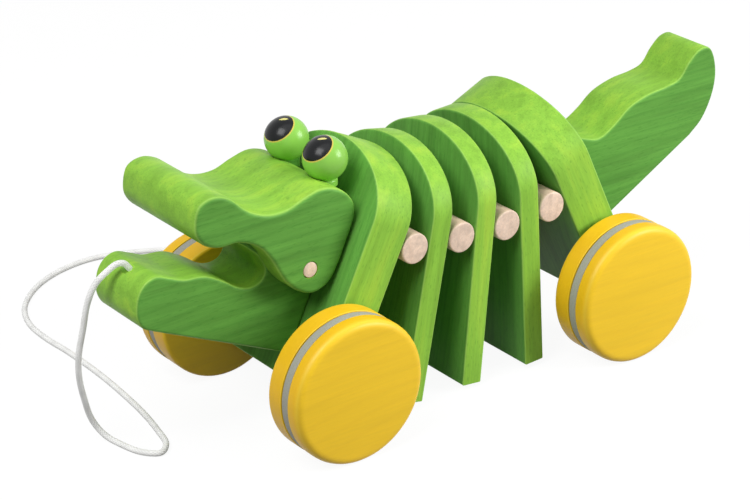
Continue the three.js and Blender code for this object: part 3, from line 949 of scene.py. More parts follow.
@dataclass
class Back:
    """The two blocks, the three ribs, the dowels between them and the elastic through it all."""

    block: float = 18.9
    rib: float = 9.9
    block_leg: float = 71.3
    rib_leg: float = 77.0
    arch_rise: float = 25.6
    edge_round: float = 0.9
    pitch: float = 25.7
    axle_setback: float = 4.5
    axle_drop: float = 61.5
    rear_setback: float = 3.8
    front_axle: tuple[float, float, float] = (70.2, 0.0, WHEEL_RADIUS)
    folds: tuple[tuple[float, float, float], ...] = (
        (5.9, 10.6, 14.7),
        (7.7, 11.0, 5.6),
        (9.8, 10.4, 8.6),
        (9.8, 9.6, 21.5),
    )
    dowel_radius: float = 6.4
    dowel_bore: float = 3.2
    dowel_end_round: float = 0.8
    spine_radius: float = 1.5
    spine_bore: float = 2.2
    spine_break: float = 0.8
    knot_radius: float = 3.6
    pocket: float = 9.0
    fixing_radius: float = 4.0
    fixing_depth: float = 12.0
    jaw_fixings: tuple[float, float] = (38.0, 54.0)
    tail_fixings: tuple[float, float] = (22.0, 44.0)
    axle_radius: float = 2.0

    def __post_init__(self) -> None:
        """Works out where every board and dowel lies, from the front axle backwards."""
        first = Lean.through(
            self.front_axle, math.radians(self.pitch), -self.axle_setback, -self.axle_drop, self.block
        )
        self.boards, self.dowels = [first], []
        reach = self.dowel_radius + FIT_GAP
        for i, (before, after, lean) in enumerate(self.folds):
            last = self.boards[-1]
            dowel = last.on(-last.thickness - reach, -before)
            thick = self.block if i == len(self.folds) - 1 else self.rib
            self.dowels.append(dowel)
            self.boards.append(
                Lean.through(dowel, last.pitch - math.radians(lean), reach, -after, thick)
            )
        rear = self.boards[-1]
        drop = (rear.z - self.rear_setback * math.sin(rear.pitch) - WHEEL_RADIUS) / math.cos(rear.pitch)
        self.rear_axle = tuple(rear.on(-self.rear_setback, -drop))
        start = self.boards[0].on(-self.pocket, -self.folds[0][0])
        end = rear.on(self.pocket - self.block, -self.folds[-1][1])
        self.spine = [start, *self.dowels, end]

    def outline(self, leg: float) -> np.ndarray:
        """Half an ellipse over two straight legs.

        Args:
            leg: how far the legs reach below the ellipse's centre.

        Returns:
            The corners, in width and height.
        """
        turn = np.linspace(0, math.pi, 73)
        arch = np.c_[BOARD_HALF_WIDTH * np.cos(turn), self.arch_rise * np.sin(turn)]
        return np.vstack([[BOARD_HALF_WIDTH, -leg], arch, [-BOARD_HALF_WIDTH, -leg]])

    def holes(self, lean: Lean, face: float, drops: Sequence[float]) -> list[Solid]:
        """The holes for glue dowels across a face of a board.

        Args:
            lean: the board.
            face: how far forward of the board's front the face lies.
            drops: how far below the arch's centre the dowels lie.

        Returns:
            One rod for each dowel.
        """
        depth = self.fixing_depth + FIT_GAP
        return [
            rod(lean.on(face - depth, -d), lean.on(face + depth, -d), self.fixing_radius + FIT_GAP)
            for d in drops
        ]

    def axle_bore(self, axle: Sequence[float]) -> Solid:
        """The hole that an axle turns in.

        Args:
            axle: the middle of the axle.

        Returns:
            A rod right through the board.
        """
        reach = BOARD_HALF_WIDTH + OVERRUN
        ends = [(axle[0], side * reach, axle[2]) for side in (-1, 1)]
        return rod(ends[0], ends[1], self.axle_radius + FIT_GAP)

    def build(self, bench: Bench) -> None:
        """Makes every piece of the back.

        Args:
            bench: where they are made.
        """
        front, rear = self.boards[0], self.boards[-1]
        steps = [(b - a) / np.linalg.norm(b - a) for a, b in zip(self.spine, self.spine[1:])]
        bores = [
            rod(a - s * OVERRUN, b + s * OVERRUN, self.spine_bore)
            for a, b, s in zip(self.spine, self.spine[1:], steps)
        ]
        pocket = self.knot_radius + FIT_GAP
        extra = {
            0: [
                self.axle_bore(self.front_axle),
                rod(self.spine[0], front.on(OVERRUN, -self.folds[0][0]), pocket),
                *self.holes(front, 0, self.jaw_fixings),
            ],
            len(self.boards) - 1: [
                self.axle_bore(self.rear_axle),
                rod(self.spine[-1], rear.on(-self.block - OVERRUN, -self.folds[-1][1]), pocket),
                *self.holes(rear, -self.block, self.tail_fixings),
            ],
        }
        names = ["front_block", "rib_1", "rib_2", "rib_3", "rear_block"]
        for i, (name, lean) in enumerate(zip(names, self.boards)):
            leg = self.block_leg if i in extra else self.rib_leg
            shape = board(self.outline(leg), lean.thickness, self.edge_round)
            shape.points[:, 2] -= lean.thickness / 2
            cutters = [bores[i], *extra.get(i, [])]
            piece = bench.carve(f"{name}_board", shape.placed(lean.placing()), cutters)
            c, s = math.cos(lean.pitch), math.sin(lean.pitch)
            bench.wood(piece, Look.GREEN, name, (-s, 0, c), (c, 0, s))
        self.build_dowels(bench, steps)
        self.build_spine(bench, steps)
        self.build_fixings(bench)

    def build_dowels(self, bench: Bench, steps: Sequence[np.ndarray]) -> None:
        """Turned spacer dowels, each drilled midway between the two lengths of elastic.

        Args:
            bench: where they are made.
            steps: the directions of the lengths of elastic.
        """
        for i, dowel in enumerate(self.dowels):
            side = np.array([0, BOARD_HALF_WIDTH, 0])
            bar = rod(dowel - side, dowel + side, self.dowel_radius, self.dowel_end_round, 72)
            middle = steps[i] + steps[i + 1]
            middle *= (self.dowel_radius + OVERRUN) / np.linalg.norm(middle)
            piece = bench.carve(
                f"spacer_dowel_{i + 1}_bar", bar, [rod(dowel - middle, dowel + middle, self.dowel_bore)]
            )
            turned = (Axis.Y.value, Axis.Z.value, Axis.Y.value)
            bench.wood(piece, Look.PLAIN, f"spacer_dowel_{i + 1}", *turned)

    def build_spine(self, bench: Bench, steps: Sequence[np.ndarray]) -> None:
        """The five lengths of elastic and the knots at its two ends.

        Args:
            bench: where they are made.
            steps: the directions of the lengths.
        """
        last = len(self.dowels)
        for i, (start, end, step) in enumerate(zip(self.spine, self.spine[1:], steps)):
            first = FIT_GAP if i == 0 else self.spine_break
            final = FIT_GAP if i == last else self.spine_break
            braid = Braid(self.spine_radius, strands=4, pitch=8.0, sides=16)
            run = np.linspace(start + step * first, end - step * final, 90)
            piece = braid.tube(bench, f"spine_elastic_{i + 1}_braid", run)
            bench.fit(piece, Look.ELASTIC, f"spine_elastic_{i + 1}")
        front = self.boards[0].on(-self.pocket + self.knot_radius, -self.folds[0][0])
        rear = self.boards[-1].on(self.pocket - self.block - self.knot_radius, -self.folds[-1][1])
        for name, centre in (("spine_knot_front", front), ("spine_knot_rear", rear)):
            piece = wound_knot(bench, f"{name}_wound", centre, self.knot_radius)
            bench.fit(piece, Look.ELASTIC, name)

    def build_fixings(self, bench: Bench) -> None:
        """Hidden glue dowels of the jaw and of the tail.

        Args:
            bench: where they are made.
        """
        for group, lean, face, drops in (
            ("jaw", self.boards[0], 0.0, self.jaw_fixings),
            ("tail", self.boards[-1], -self.block, self.tail_fixings),
        ):
            for i, drop in enumerate(drops):
                name = f"{group}_glue_dowel_{i + 1}"
                ends = [lean.on(face + sign * self.fixing_depth, -drop) for sign in (-1, 1)]
                piece = bench.mesh(f"{name}_bar", rod(ends[0], ends[1], self.fixing_radius, 0.6))
                bench.wood(piece, Look.PLAIN, name, face=Axis.Z.value)


@dataclass
class Head:
    """The upper jaw and skull, slotted over the neck, with its two eyes and the hinge pin."""

    back: Back
    width: float = 52.4
    edge_round: float = 1.6
    jaw_width: float = 30.6
    neck_side_gap: float = 0.5
    pin_radius: float = 3.2
    pin: tuple[float, float] = (1.0, 41.2)
    eye_radius: float = 9.0
    eye: tuple[float, float, float] = (-16.0, 13.0, 79.2)
    peg_radius: float = 3.0
    peg_depth: float = 9.0
    shoulder_radius: float = 4.6
    shoulder_drop: float = 2.0
    pupil_axis: tuple[float, float, float] = (0.576, 0.047, 0.814)
    fleck_axis: tuple[float, float, float] = (0.19, 0.10, 0.975)
    fleck_lie: tuple[float, float, float] = (1.0, -0.75, 0.0)
    fleck_size: tuple[float, float] = (0.20, 0.075)
    fleck_far: float = 9.0  # added to the glint on the ball's far side, where it would repeat
    outline: tuple[tuple[float, float], ...] = (
        (52.2, 73), (50, 80.2), (43.8, 82.5), (36.8, 80.4), (28.8, 73.4), (19.9, 69.2), (10.8, 68.8),
        (2.8, 71.5), (-5.7, 73.3), (-14, 70.8), (-20, 64.6), (-20.6, 58.4), (-16.6, 48.4), (-12.6, 40),
        (-7.9, 33.3), (-0.6, 30.8), (6.4, 33.4), (12.8, 39.8), (18.7, 50.2), (24, 56.6), (32.8, 61),
        (41.3, 61.3), (48, 63.9), (51.6, 68.6),
    )
    slot: tuple[tuple[float, float], ...] = (
        (31.3, 20), (31.3, 64.3), (1, 55.6), (-30.2, 46.7), (-30.2, 20),
    )

    def off_axle(self, points: Sequence[Sequence[float]]) -> np.ndarray:
        """Places measured from the front axle, in the maker's side view."""
        return np.array(points, float) + [self.back.front_axle[0], self.back.front_axle[2]]

    def pin_rod(self, half_length: float, radius: float, ease: float = 0.0) -> Solid:
        """A rod on the hinge pin's axis."""
        x, z = self.off_axle([self.pin])[0]
        return rod((x, -half_length, z), (x, half_length, z), radius, ease, 64)

    def build(self, bench: Bench) -> None:
        """Makes the head, the eyes and the pin.

        Args:
            bench: where they are made.
        """
        shape = board(catmull(self.off_axle(self.outline), True, 6), self.width, self.edge_round, 5)
        slot = board(self.off_axle(self.slot), self.jaw_width + 2 * self.neck_side_gap, 0)
        cutters = [slot.placed(SIDE), self.pin_rod(self.width, self.pin_radius + FIT_GAP)]
        for side in (1, -1):
            x, y, z = self.eye_centre(side)
            low = z - self.eye_radius - self.peg_depth - FIT_GAP
            cutters.append(rod((x, y, low), (x, y, z), self.peg_radius + FIT_GAP))
            cutters.append(self.ball((x, y, z), self.eye_radius + FIT_GAP, 64, None))
            seat = z - self.eye_radius - self.shoulder_drop - FIT_GAP
            cutters.append(rod((x, y, seat), (x, y, z), self.shoulder_radius + 2 * FIT_GAP))
        piece = bench.carve("head_carved", shape.placed(SIDE), cutters)
        bench.wood(piece, Look.GREEN, "head")
        for name, side in (("left_eye", 1), ("right_eye", -1)):
            self.build_eye(bench, name, self.eye_centre(side))
        pin = bench.mesh("jaw_pin_bar", self.pin_rod(self.width / 2, self.pin_radius, 0.4))
        bench.wood(pin, Look.PLAIN, "jaw_pin", Axis.Y.value, Axis.Z.value, Axis.Y.value)

    def eye_centre(self, side: int) -> tuple[float, float, float]:
        """The middle of an eye's ball."""
        x, z = self.off_axle([(self.eye[0], self.eye[2])])[0]
        return float(x), side * self.eye[1], float(z)

    def ball(self, centre: Sequence[float], radius: float, segments: int, peg: float | None) -> Solid:
        """A turned ball, with a low shoulder and a peg below it where a peg is asked for. The
        shoulder meets the ball at a depth of the root of radius squared less shoulder squared.

        Args:
            centre: the middle of the ball.
            radius: its radius.
            segments: steps round it.
            peg: the peg's radius, or None for a plain ball.

        Returns:
            The ball.
        """
        turn = np.linspace(0, math.pi, segments // 2 + 1)
        points = [(radius * math.sin(a), radius * math.cos(a)) for a in turn]
        points[0], points[-1] = (0.0, radius), (0.0, -radius)
        if peg is not None:
            ball_clear, neck, rise, lip, foot_round = 0.2, 0.4, 0.5, 0.3, 0.4
            wide, join = self.shoulder_radius, -math.sqrt(radius**2 - self.shoulder_radius**2)
            seat, foot = -radius - self.shoulder_drop, -radius - self.peg_depth
            points = [p for p in points if p[1] > join + ball_clear]
            points += rounded([
                (wide, join, 0), (wide, join - neck, 0), (wide + lip, join - neck - rise, lip),
                (wide + lip, seat, lip), (peg, seat, 0), (peg, foot, foot_round), (0, foot, 0),
            ])
        place = np.eye(4)
        place[:3, 3] = centre
        return revolve(points, segments).placed(place)

    def build_eye(self, bench: Bench, name: str, centre: tuple[float, float, float]) -> None:
        """One eye: a ball on a peg with its painted pupil.

        Args:
            bench: where it is made.
            name: which eye it is.
            centre: the middle of its ball.
        """
        piece = bench.mesh(f"{name}_ball", self.ball(centre, self.eye_radius, 112, self.peg_radius))
        bench.smooth(piece, 50.0)
        places = bench.corners(piece)
        ray = places - np.array(centre)
        ray /= np.linalg.norm(ray, axis=1, keepdims=True)
        bench.attribute(piece, "gaze", ray @ self.unit(self.pupil_axis))
        middle = self.unit(self.fleck_axis)
        along = self.unit(np.cross(middle, np.cross(self.fleck_lie, middle)))
        wide = np.cross(middle, along)
        long_half, wide_half = self.fleck_size
        behind = np.where(ray @ middle > 0, 0.0, self.fleck_far)
        glint = np.hypot((ray @ along) / long_half, (ray @ wide) / wide_half) + behind
        bench.attribute(piece, "glint", glint)
        bench.fit(piece, Look.ENAMEL, name)

    @staticmethod
    def unit(vector: Sequence[float]) -> np.ndarray:
        """The vector at length 1."""
        return np.array(vector, float) / np.linalg.norm(vector)


@dataclass
class LowerJaw:
    """The lower jaw and the neck behind it: one board glued to the front block."""

    back: Back
    head: Head
    edge_round: float = 1.1
    bottom_drop: float = 61.6
    neck_drop: float = 12.4
    boss_radius: float = 12.5
    boss_from: float = 80.0
    boss_to: float = 140.0
    hole: tuple[float, float] = (66.2, 51.1)
    hole_depth: float = 34.0
    hole_radius: float = 2.1
    hole_tilt: float = 35.0
    flare: tuple[float, float] = (1.6, 0.9)  # of the hole's mouth: how much wider, and how deep
    pocket_from: float = 12.1
    pocket_radius: float = 4.2
    chin: tuple[tuple[float, float], ...] = ((65.2, 29.5), (70, 32.2), (72.2, 36.2))
    front: tuple[tuple[float, float], ...] = (
        (72.6, 40.4), (71.2, 46.6), (67.8, 50.5), (63.2, 51.8), (57.3, 49.7), (51.3, 47.2), (42.1, 46),
        (33.8, 41.7), (26.8, 36.9), (21.3, 35.4), (16.4, 36.9), (14.5, 40.6), (16.9, 46.8), (23.4, 53.2),
    )
    lip: tuple[tuple[float, float], ...] = ((26.4, 55.1), (25.6, 56.9))

    def in_hole(self, depth: float) -> np.ndarray:
        """A point on the cord hole's axis.

        Args:
            depth: how far below the hole's mouth.

        Returns:
            The point.
        """
        x, z = self.head.off_axle([self.hole])[0]
        tilt = math.radians(self.hole_tilt)
        return np.array([x - depth * math.sin(tilt), 0.0, z - depth * math.cos(tilt)])

    def outline(self) -> np.ndarray:
        """Chin, lips and mouth corner, then the neck round the pin and down the block's face.

        Returns:
            The corners, in the side view.
        """
        face = self.back.boards[0]
        curve = catmull(self.head.off_axle([*self.chin, *self.front]), False, 6)
        turn = np.radians(np.linspace(self.boss_from, self.boss_to, 13))
        pin = self.head.off_axle([self.head.pin])[0]
        boss = pin + self.boss_radius * np.c_[np.cos(turn), np.sin(turn)]
        ends = [face.on(FIT_GAP, -drop)[[0, 2]] for drop in (self.neck_drop, self.bottom_drop)]
        return np.vstack([curve, self.head.off_axle(self.lip), boss, ends])

    def build(self, bench: Bench) -> None:
        """Makes the jaw board with its pin hole, cord hole, knot pocket and peg holes.

        Args:
            bench: where it is made.
        """
        shape = board(self.outline(), self.head.jaw_width, self.edge_round, 4)
        spread, deep = self.flare
        wide = self.hole_radius + spread
        flare = [(0, -OVERRUN), (wide, -OVERRUN), (self.hole_radius, deep), (0, deep)]
        mouth = revolve(flare, 48).placed(aimed(self.in_hole(0), self.in_hole(1) - self.in_hole(0)))
        cutters = [
            self.head.pin_rod(self.head.jaw_width, self.head.pin_radius + FIT_GAP),
            rod(self.in_hole(-2 * OVERRUN), self.in_hole(self.hole_depth), self.hole_radius),
            rod(self.in_hole(self.pocket_from), self.in_hole(self.hole_depth), self.pocket_radius),
            mouth,
            *self.back.holes(self.back.boards[0], 0, self.back.jaw_fixings),
        ]
        piece = bench.carve("lower_jaw_carved", shape.placed(SIDE), cutters)
        bench.wood(piece, Look.GREEN, "lower_jaw")


@dataclass
class Tail:
    """The tail board, pegged and glued to the rear block."""

    back: Back
    width: float = 25.6
    edge_round: float = 1.1
    root_drop: float = -0.88
    underside_slope: float = 0.551
    top: tuple[tuple[float, float], ...] = (
        (-9, -2.6), (-17, -6.2), (-25.6, -8.2), (-33.8, -4.3), (-42.1, 1.7), (-52.8, 5.1),
        (-64, 6.3), (-70.6, 8.2), (-75.6, 14.2), (-81.2, 18.6), (-86.2, 19), (-89.2, 16.2),
        (-91.6, 7.4), (-91, -0.4), (-88.4, -7.6), (-84.2, -14.2), (-77.7, -19.6),
    )

    def build(self, bench: Bench) -> None:
        """Makes the tail.

        Args:
            bench: where it is made.
        """
        rear = self.back.boards[-1]
        face = -self.back.block - FIT_GAP
        root = rear.on(face, -self.root_drop)[[0, 2]]
        points = np.vstack([[root], root + np.array(self.top, float)])
        heel = rear.on(face, 0)
        last = points[-1]
        c, s = math.cos(rear.pitch), math.sin(rear.pitch)
        slope = self.underside_slope
        foot = (heel[2] - last[1] + slope * (heel[0] - last[0])) / (c - slope * s)
        outline = np.vstack([catmull(points, False, 6), rear.on(face, -foot)[[0, 2]]])
        shape = board(outline, self.width, self.edge_round, 4)
        cutters = self.back.holes(rear, -self.back.block, self.back.tail_fixings)
        piece = bench.carve("tail_carved", shape.placed(SIDE), cutters)
        bench.wood(piece, Look.GREEN, "tail")


@dataclass
class Wheels:
    """Both wheelsets: a steel axle, two turned wheels with rubber rings, and nylon washers."""

    back: Back
    clearance: float = 2.5
    width: float = 20.0
    rim_round: float = 3.6
    inner_round: float = 1.6
    ring_width: float = 4.5
    ring_from_face: float = 6.9
    ring_depth: float = 3.0
    ring_below: float = 0.25
    notch_ease: float = 0.35
    axle_in_wheel: float = 14.0
    axle_ease: float = 0.3
    washer_radius: float = 6.0
    segments: int = 144

    def profiles(self) -> dict[str, list[tuple[float, float]]]:
        """Half sections of the wheel, ring and washer.

        Returns:
            By name, their corners as radius and distance from the toy's middle.
        """
        inner = BOARD_HALF_WIDTH + self.clearance
        outer = inner + self.width
        groove = outer - self.ring_from_face
        floor = WHEEL_RADIUS - self.ring_depth
        low = groove - self.ring_width
        bore = self.back.axle_radius + FIT_GAP
        deep = inner + self.axle_in_wheel + FIT_GAP
        wheel = rounded([
            (0, deep, 0), (bore, deep, 0), (bore, inner, 0.5),
            (WHEEL_RADIUS, inner, self.inner_round), (WHEEL_RADIUS, low, self.notch_ease),
            (floor, low, 0), (floor, groove, 0), (WHEEL_RADIUS, groove, self.notch_ease),
            (WHEEL_RADIUS, outer, self.rim_round), (0, outer, 0),
        ], 6)
        ring = rounded([
            (floor + FIT_GAP, low + FIT_GAP, 0),
            (WHEEL_RADIUS - self.ring_below, low + FIT_GAP, 0.5),
            (WHEEL_RADIUS - self.ring_below, groove - FIT_GAP, 0.5),
            (floor + FIT_GAP, groove - FIT_GAP, 0),
        ])
        washer = rounded([
            (bore, BOARD_HALF_WIDTH + FIT_GAP, 0.2), (self.washer_radius, BOARD_HALF_WIDTH + FIT_GAP, 0.3),
            (self.washer_radius, inner - FIT_GAP, 0.3), (bore, inner - FIT_GAP, 0.2),
        ])
        return {"wheel": wheel, "tread": ring, "washer": washer}

    def build(self, bench: Bench) -> None:
        """Makes both wheelsets.

        Args:
            bench: where they are made.
        """
        profiles = self.profiles()
        reach = BOARD_HALF_WIDTH + self.clearance + self.axle_in_wheel
        for set_name, axle in (("front", self.back.front_axle), ("rear", self.back.rear_axle)):
            ends = [(axle[0], side * reach, axle[2]) for side in (-1, 1)]
            pin = rod(ends[0], ends[1], self.back.axle_radius, self.axle_ease)
            piece = bench.mesh(f"{set_name}_axle_pin", pin)
            bench.smooth(piece)
            bench.fit(piece, Look.STEEL, f"{set_name}_axle")
            for side_name, side in (("left", 1), ("right", -1)):
                place = aimed((axle[0], 0, axle[2]), (0, side, 0))
                self.build_side(bench, f"{set_name}_{side_name}", profiles, place)

    def build_side(self, bench: Bench, name: str, profiles: dict, place: np.ndarray) -> None:
        """The three turned pieces at one end of an axle.

        Args:
            bench: where they are made.
            name: which end it is.
            profiles: the half sections.
            place: carries a section's axis onto the axle.
        """
        solid = revolve(profiles["wheel"], self.segments).placed(place)
        wheel = bench.mesh(f"{name}_wheel_turned", solid)
        bench.wood(wheel, Look.YELLOW, f"{name}_wheel")
        for part, look, segments in (
            ("tread", Look.RUBBER, self.segments),
            ("washer", Look.NYLON, 48),
        ):
            solid = revolve(profiles[part], segments, ring=True).placed(place)
            piece = bench.mesh(f"{name}_{part}_ring", solid)
            bench.smooth(piece)
            bench.fit(piece, look, f"{name}_{part}")


@dataclass(frozen=True)
class Braid:
    """A braided tube: its radius swells on the crowns of two sets of strands wound opposite
    ways, |cos| of the angle plus and minus the winding, and the larger of the two shows."""

    radius: float
    strands: int = 6
    pitch: float = 9.0
    sides: int = 24
    relief: float = 0.14

    def tube(self, bench: Bench, name: str, line: np.ndarray) -> bpy.types.Object:
        """Sweeps the section along a line. The section's frame turns only as the line turns:
        each step takes away from the last side direction its share along the new tangent.

        Args:
            bench: where it is made.
            name: the piece's name.
            line: closely spaced points of the centreline.

        Returns:
            The tube, closed at both ends, with its relief stored at each corner.
        """
        tangent = np.gradient(line, axis=0)
        tangent /= np.linalg.norm(tangent, axis=1, keepdims=True)
        side = np.zeros_like(line)
        guess = np.cross(tangent[0], (0.0, 1.0, 0.0))
        if np.linalg.norm(guess) < 0.1:
            guess = np.cross(tangent[0], (1.0, 0.0, 0.0))
        for i, direction in enumerate(tangent):
            guess = guess - direction * (guess @ direction)
            guess = guess / np.linalg.norm(guess)
            side[i] = guess
        other = np.cross(tangent, side)
        run = np.r_[0, np.cumsum(np.linalg.norm(np.diff(line, axis=0), axis=1))]
        turn = np.linspace(0, 2 * math.pi, self.sides, endpoint=False)[None, :]
        wind = (2 * math.pi * run / self.pitch)[:, None]
        half = self.strands / 2
        crown = np.maximum(np.abs(np.cos(half * (turn + wind))), np.abs(np.cos(half * (turn - wind))))
        radius = self.radius * (1 - self.relief * (1 - crown))
        points = (
            line[:, None, :]
            + (radius * np.cos(turn))[:, :, None] * side[:, None, :]
            + (radius * np.sin(turn))[:, :, None] * other[:, None, :]
        ).reshape(-1, 3)
        piece = bench.mesh(name, lidded(points, self.sides))
        bench.smooth(piece, 60.0)
        floor = math.cos(math.pi / 4)
        bench.attribute(piece, "relief", np.clip((crown.ravel() - floor) / (1 - floor), 0, 1))
        return piece


def wound_knot(bench: Bench, name: str, centre: Sequence[float], size: float) -> bpy.types.Object:
    """A pulled-tight knot: a ball whose radius swells on three strands that wind round it, and
    the swelling dies away at the poles.

    Args:
        bench: where it is made.
        name: the piece's name.
        centre: its middle.
        size: its greatest radius.

    Returns:
        The knot, with its relief stored at each corner.
    """
    rows, columns = 33, 64
    core, strand, strands, wind, sharpness = 0.8, 0.2, 3, 2.4, 0.7
    fall = np.linspace(0, math.pi, rows + 2)[1:-1, None]
    turn = np.linspace(0, 2 * math.pi, columns, endpoint=False)[None, :]
    crown = np.abs(np.cos(strands / 2 * turn + wind * fall)) ** sharpness
    radius = size * (core + strand * crown * np.sin(fall))
    grid = np.stack(
        [radius * np.sin(fall) * np.cos(turn), radius * np.sin(fall) * np.sin(turn),
         radius * np.cos(fall) + 0 * turn],
        axis=-1,
    ).reshape(-1, 3)
    middle = np.array(centre, float)
    poles = [middle + [0, 0, size * core], middle - [0, 0, size * core]]
    piece = bench.mesh(name, pointed(grid + middle, columns, poles))
    bench.smooth(piece, 60.0)
    bench.attribute(piece, "relief", np.r_[(crown * np.ones_like(fall)).ravel(), 0.5, 0.5])
    return piece


@dataclass
class PullCord:
    """The white braided pull cord: knotted inside the jaw, over its lip, down to the floor,
    round a fold and away along the toy's right side, to a knot at its free end."""

    jaw: LowerJaw
    radius: float = 1.25
    knot_radius: float = 3.2
    end_knot: tuple[float, float, float] = (-75.6, -99.6, 3.4)
    step: float = 0.36
    route: tuple[tuple[float, float, float], ...] = (
        (129.5, 0, 71.3), (133, 0, 76.2), (136.4, 0, 81.1), (138.2, -0.2, 83.2), (141, -0.6, 83.6),
        (144.6, -1.6, 81.4), (149, -3.4, 76.8), (151.8, -5.6, 68.6), (153, -8, 57.5),
        (154, -11, 45), (152.8, -14, 34.5), (149, -18, 22), (144.2, -21, 9.4), (140.8, -18.4, 3.2),
        (138.4, -11, 1.5), (134.8, 0.4, 1.4), (129.4, 5, 1.4), (124, 0.4, 1.4), (120.6, -11, 1.4),
        (117.6, -26, 1.4), (115.6, -42, 1.4), (113.8, -66, 1.4), (113.6, -92, 1.4),
        (114.6, -112, 1.4), (113.2, -127, 1.4), (107.6, -141, 1.4), (98, -152.6, 1.4),
        (86, -161.4, 1.4), (72, -167, 1.4), (57, -168.6, 1.4), (42, -165, 1.4), (26, -157, 1.4),
        (10, -145, 1.4), (-6, -131, 1.4), (-23, -118, 1.4), (-42, -108, 1.4), (-60, -102, 1.4),
        (-72, -100, 2.2),
    )

    def build(self, bench: Bench) -> None:
        """Makes the cord and its two knots, and logs its length.

        Args:
            bench: where they are made.
        """
        fine = catmull(np.array(self.route, float), False, 60)
        gaps = np.linalg.norm(np.diff(fine, axis=0), axis=1)
        run = np.r_[0, np.cumsum(gaps)]
        even = np.linspace(0, run[-1], int(run[-1] / self.step))
        line = np.stack([np.interp(even, run, fine[:, i]) for i in range(3)], axis=1)
        cord = Braid(self.radius).tube(bench, "pull_cord_braid", line)
        bench.fit(cord, Look.CORD, "pull_cord")
        end = wound_knot(bench, "cord_end_knot_wound", self.end_knot, self.knot_radius)
        bench.fit(end, Look.CORD, "cord_end_knot")
        inside = self.jaw.in_hole(self.jaw.pocket_from + FIT_GAP + self.knot_radius)
        stop = wound_knot(bench, "cord_stop_knot_wound", inside, self.knot_radius)
        bench.fit(stop, Look.CORD, "cord_stop_knot")
        tuple(bench.point(self.jaw.in_hole(0)))
        LOG.info("the pull cord is %.3f m long", run[-1] * MM)


# ---- the studio -----------------------------------------------------------------------------------


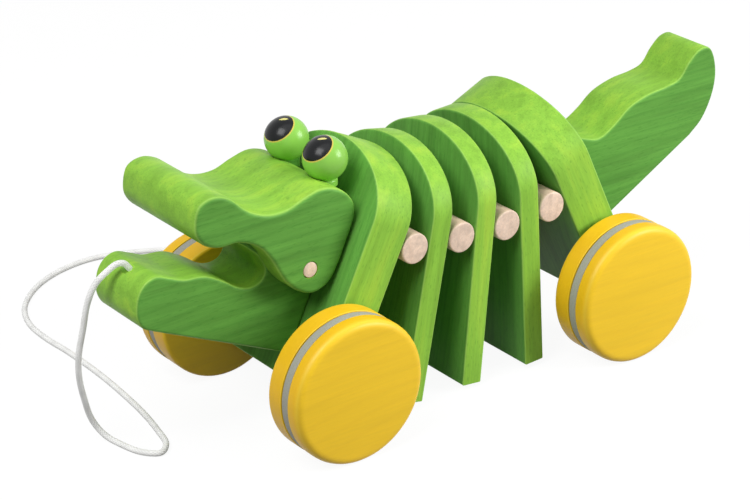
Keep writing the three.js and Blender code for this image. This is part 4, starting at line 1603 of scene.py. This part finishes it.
@dataclass
class Studio:
    """Camera, lamps and a white floor that keeps a soft shadow."""

    azimuth: float = 143.6575
    elevation: float = 24.3969
    roll: float = -0.5529
    offset_right: float = 17.3696
    offset_up: float = -45.9884
    distance: float = 1064.088
    lens: float = 121.86
    sensor: float = 36.0
    clip: tuple[float, float] = (0.05, 50.0)
    aim: tuple[float, float, float] = (0.0, 0.0, 0.06)  # what the lamps point at, in metres
    lamps: tuple[tuple[str, tuple[float, float, float], float, float], ...] = (
        ("top_softbox", (0.1, 0.3, 1.3), 0.9, 3.0),
        ("key_softbox", (-0.75, 0.75, 0.5), 0.5, 11.5),
        ("front_softbox", (0.85, 0.2, 1.1), 0.7, 13.0),
    )
    sky: tuple[float, float] = (0.12, 1.0)  # what it lights with, and how bright it looks
    paper: tuple[float, float] = (0.25, 0.8)  # the floor's own grey, lit and seen
    paper_glow: float = 1.05
    paper_share: float = 0.89
    floor_half: float = 6.0

    def camera(self, bench: Bench) -> None:
        """Sets the camera: it looks back along the view line from its distance, moved sideways
        and up in its own plane so that the toy lies where it should in the frame.

        Args:
            bench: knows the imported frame.
        """
        turn, rise, roll = (math.radians(a) for a in (self.azimuth, self.elevation, self.roll))
        level_part = math.cos(rise)
        back = Vector((math.sin(turn) * level_part, -math.cos(turn) * level_part, math.sin(rise)))
        level = Vector((0, 0, 1)).cross(back).normalized()
        upright = back.cross(level)
        right = math.cos(roll) * level + math.sin(roll) * upright
        up = -math.sin(roll) * level + math.cos(roll) * upright
        centre = back * self.distance - right * self.offset_right - up * self.offset_up
        data = bpy.data.cameras.new("studio_camera")
        data.lens, data.sensor_width = self.lens, self.sensor
        data.clip_start, data.clip_end = self.clip
        camera = bpy.data.objects.new("studio_camera", data)
        camera.matrix_world = Matrix.Translation(bench.point(centre)) @ Matrix(
            (right, up, back)
        ).transposed().to_4x4()
        bpy.context.scene.collection.objects.link(camera)
        bpy.context.scene.camera = camera

    def lamp(self, name: str, place: Sequence[float], size: float, watts: float) -> None:
        """One soft box aimed at the toy.

        Args:
            name: the lamp's name.
            place: where it stands, in metres.
            size: its side.
            watts: its power.
        """
        data = bpy.data.lights.new(name, "AREA")
        data.shape, data.size, data.energy = "SQUARE", size, watts
        lamp = bpy.data.objects.new(name, data)
        lamp.location = place
        toward = Vector(self.aim) - Vector(place)
        lamp.rotation_euler = toward.to_track_quat("-Z", "Y").to_euler()
        bpy.context.scene.collection.objects.link(lamp)

    def white(self, tree: Tree) -> Socket:
        """1 for rays that see the backdrop directly, in a mirror or through glass.

        Args:
            tree: the node tree.

        Returns:
            The greatest of the three ray flags.
        """
        seen = add(tree, "LightPath", {}, "Is Camera Ray")
        for other in ("Is Glossy Ray", "Is Transmission Ray"):
            flag = add(tree, "LightPath", {}, other)
            seen = add(tree, "Math", {"operation": "MAXIMUM", 0: seen, 1: flag})
        return seen

    def build(self) -> None:
        """Makes the lamps, the world and the floor."""
        for name, place, size, watts in self.lamps:
            self.lamp(name, place, size, watts)
        world = bpy.data.worlds.new("studio_world")
        world.use_nodes = True
        tree = world.node_tree
        tree.nodes.clear()
        low, high = self.sky
        strength = add(tree, "MapRange", {"To Min": low, "To Max": high, "Value": self.white(tree)})
        sky = add(tree, "Background", {"Color": (1, 1, 1, 1), "Strength": strength})
        add(tree, "OutputWorld", {"Surface": sky})
        bpy.context.scene.world = world
        self.floor()

    def floor(self) -> None:
        """A wide white sheet whose colour is mostly its own, so that shadows stay faint on it."""
        half = self.floor_half
        data = bpy.data.meshes.new("floor")
        corners = [(-half, -half, 0), (half, -half, 0), (half, half, 0), (-half, half, 0)]
        data.from_pydata(corners, [], [(0, 1, 2, 3)])
        floor = bpy.data.objects.new("floor", data)
        bpy.context.scene.collection.objects.link(floor)
        material, tree = blank("white_paper")
        seen = self.white(tree)
        low, high = self.paper
        grey = add(tree, "MapRange", {"To Min": low, "To Max": high, "Value": seen})
        matte = add(tree, "BsdfDiffuse", {"Color": grey})
        glow = add(tree, "Emission", {"Strength": self.paper_glow})
        share = add(tree, "MapRange", {"To Max": self.paper_share, "Value": seen})
        both = add(tree, "MixShader", {0: share, 1: matte, 2: glow})
        add(tree, "OutputMaterial", {"Surface": both})
        data.materials.append(material)


def main() -> None:
    """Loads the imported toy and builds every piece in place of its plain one."""
    logging.basicConfig(level=logging.INFO, format="%(name)s: %(message)s")
    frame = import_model()
    bodies = frame["record"]["behaviour"]["bodies"].items()
    bpy.context.scene.view_settings.view_transform = "Standard"
    bench = Bench({node: body for body, members in bodies for node in members})
    studio = Studio()
    studio.camera(bench)
    back = Back()
    head = Head(back)
    jaw = LowerJaw(back, head)
    PullCord(jaw).build(bench)
    back.build(bench)
    head.build(bench)
    jaw.build(bench)
    Tail(back).build(bench)
    Wheels(back).build(bench)
    studio.build()


if __name__ == "__main__":
    main()
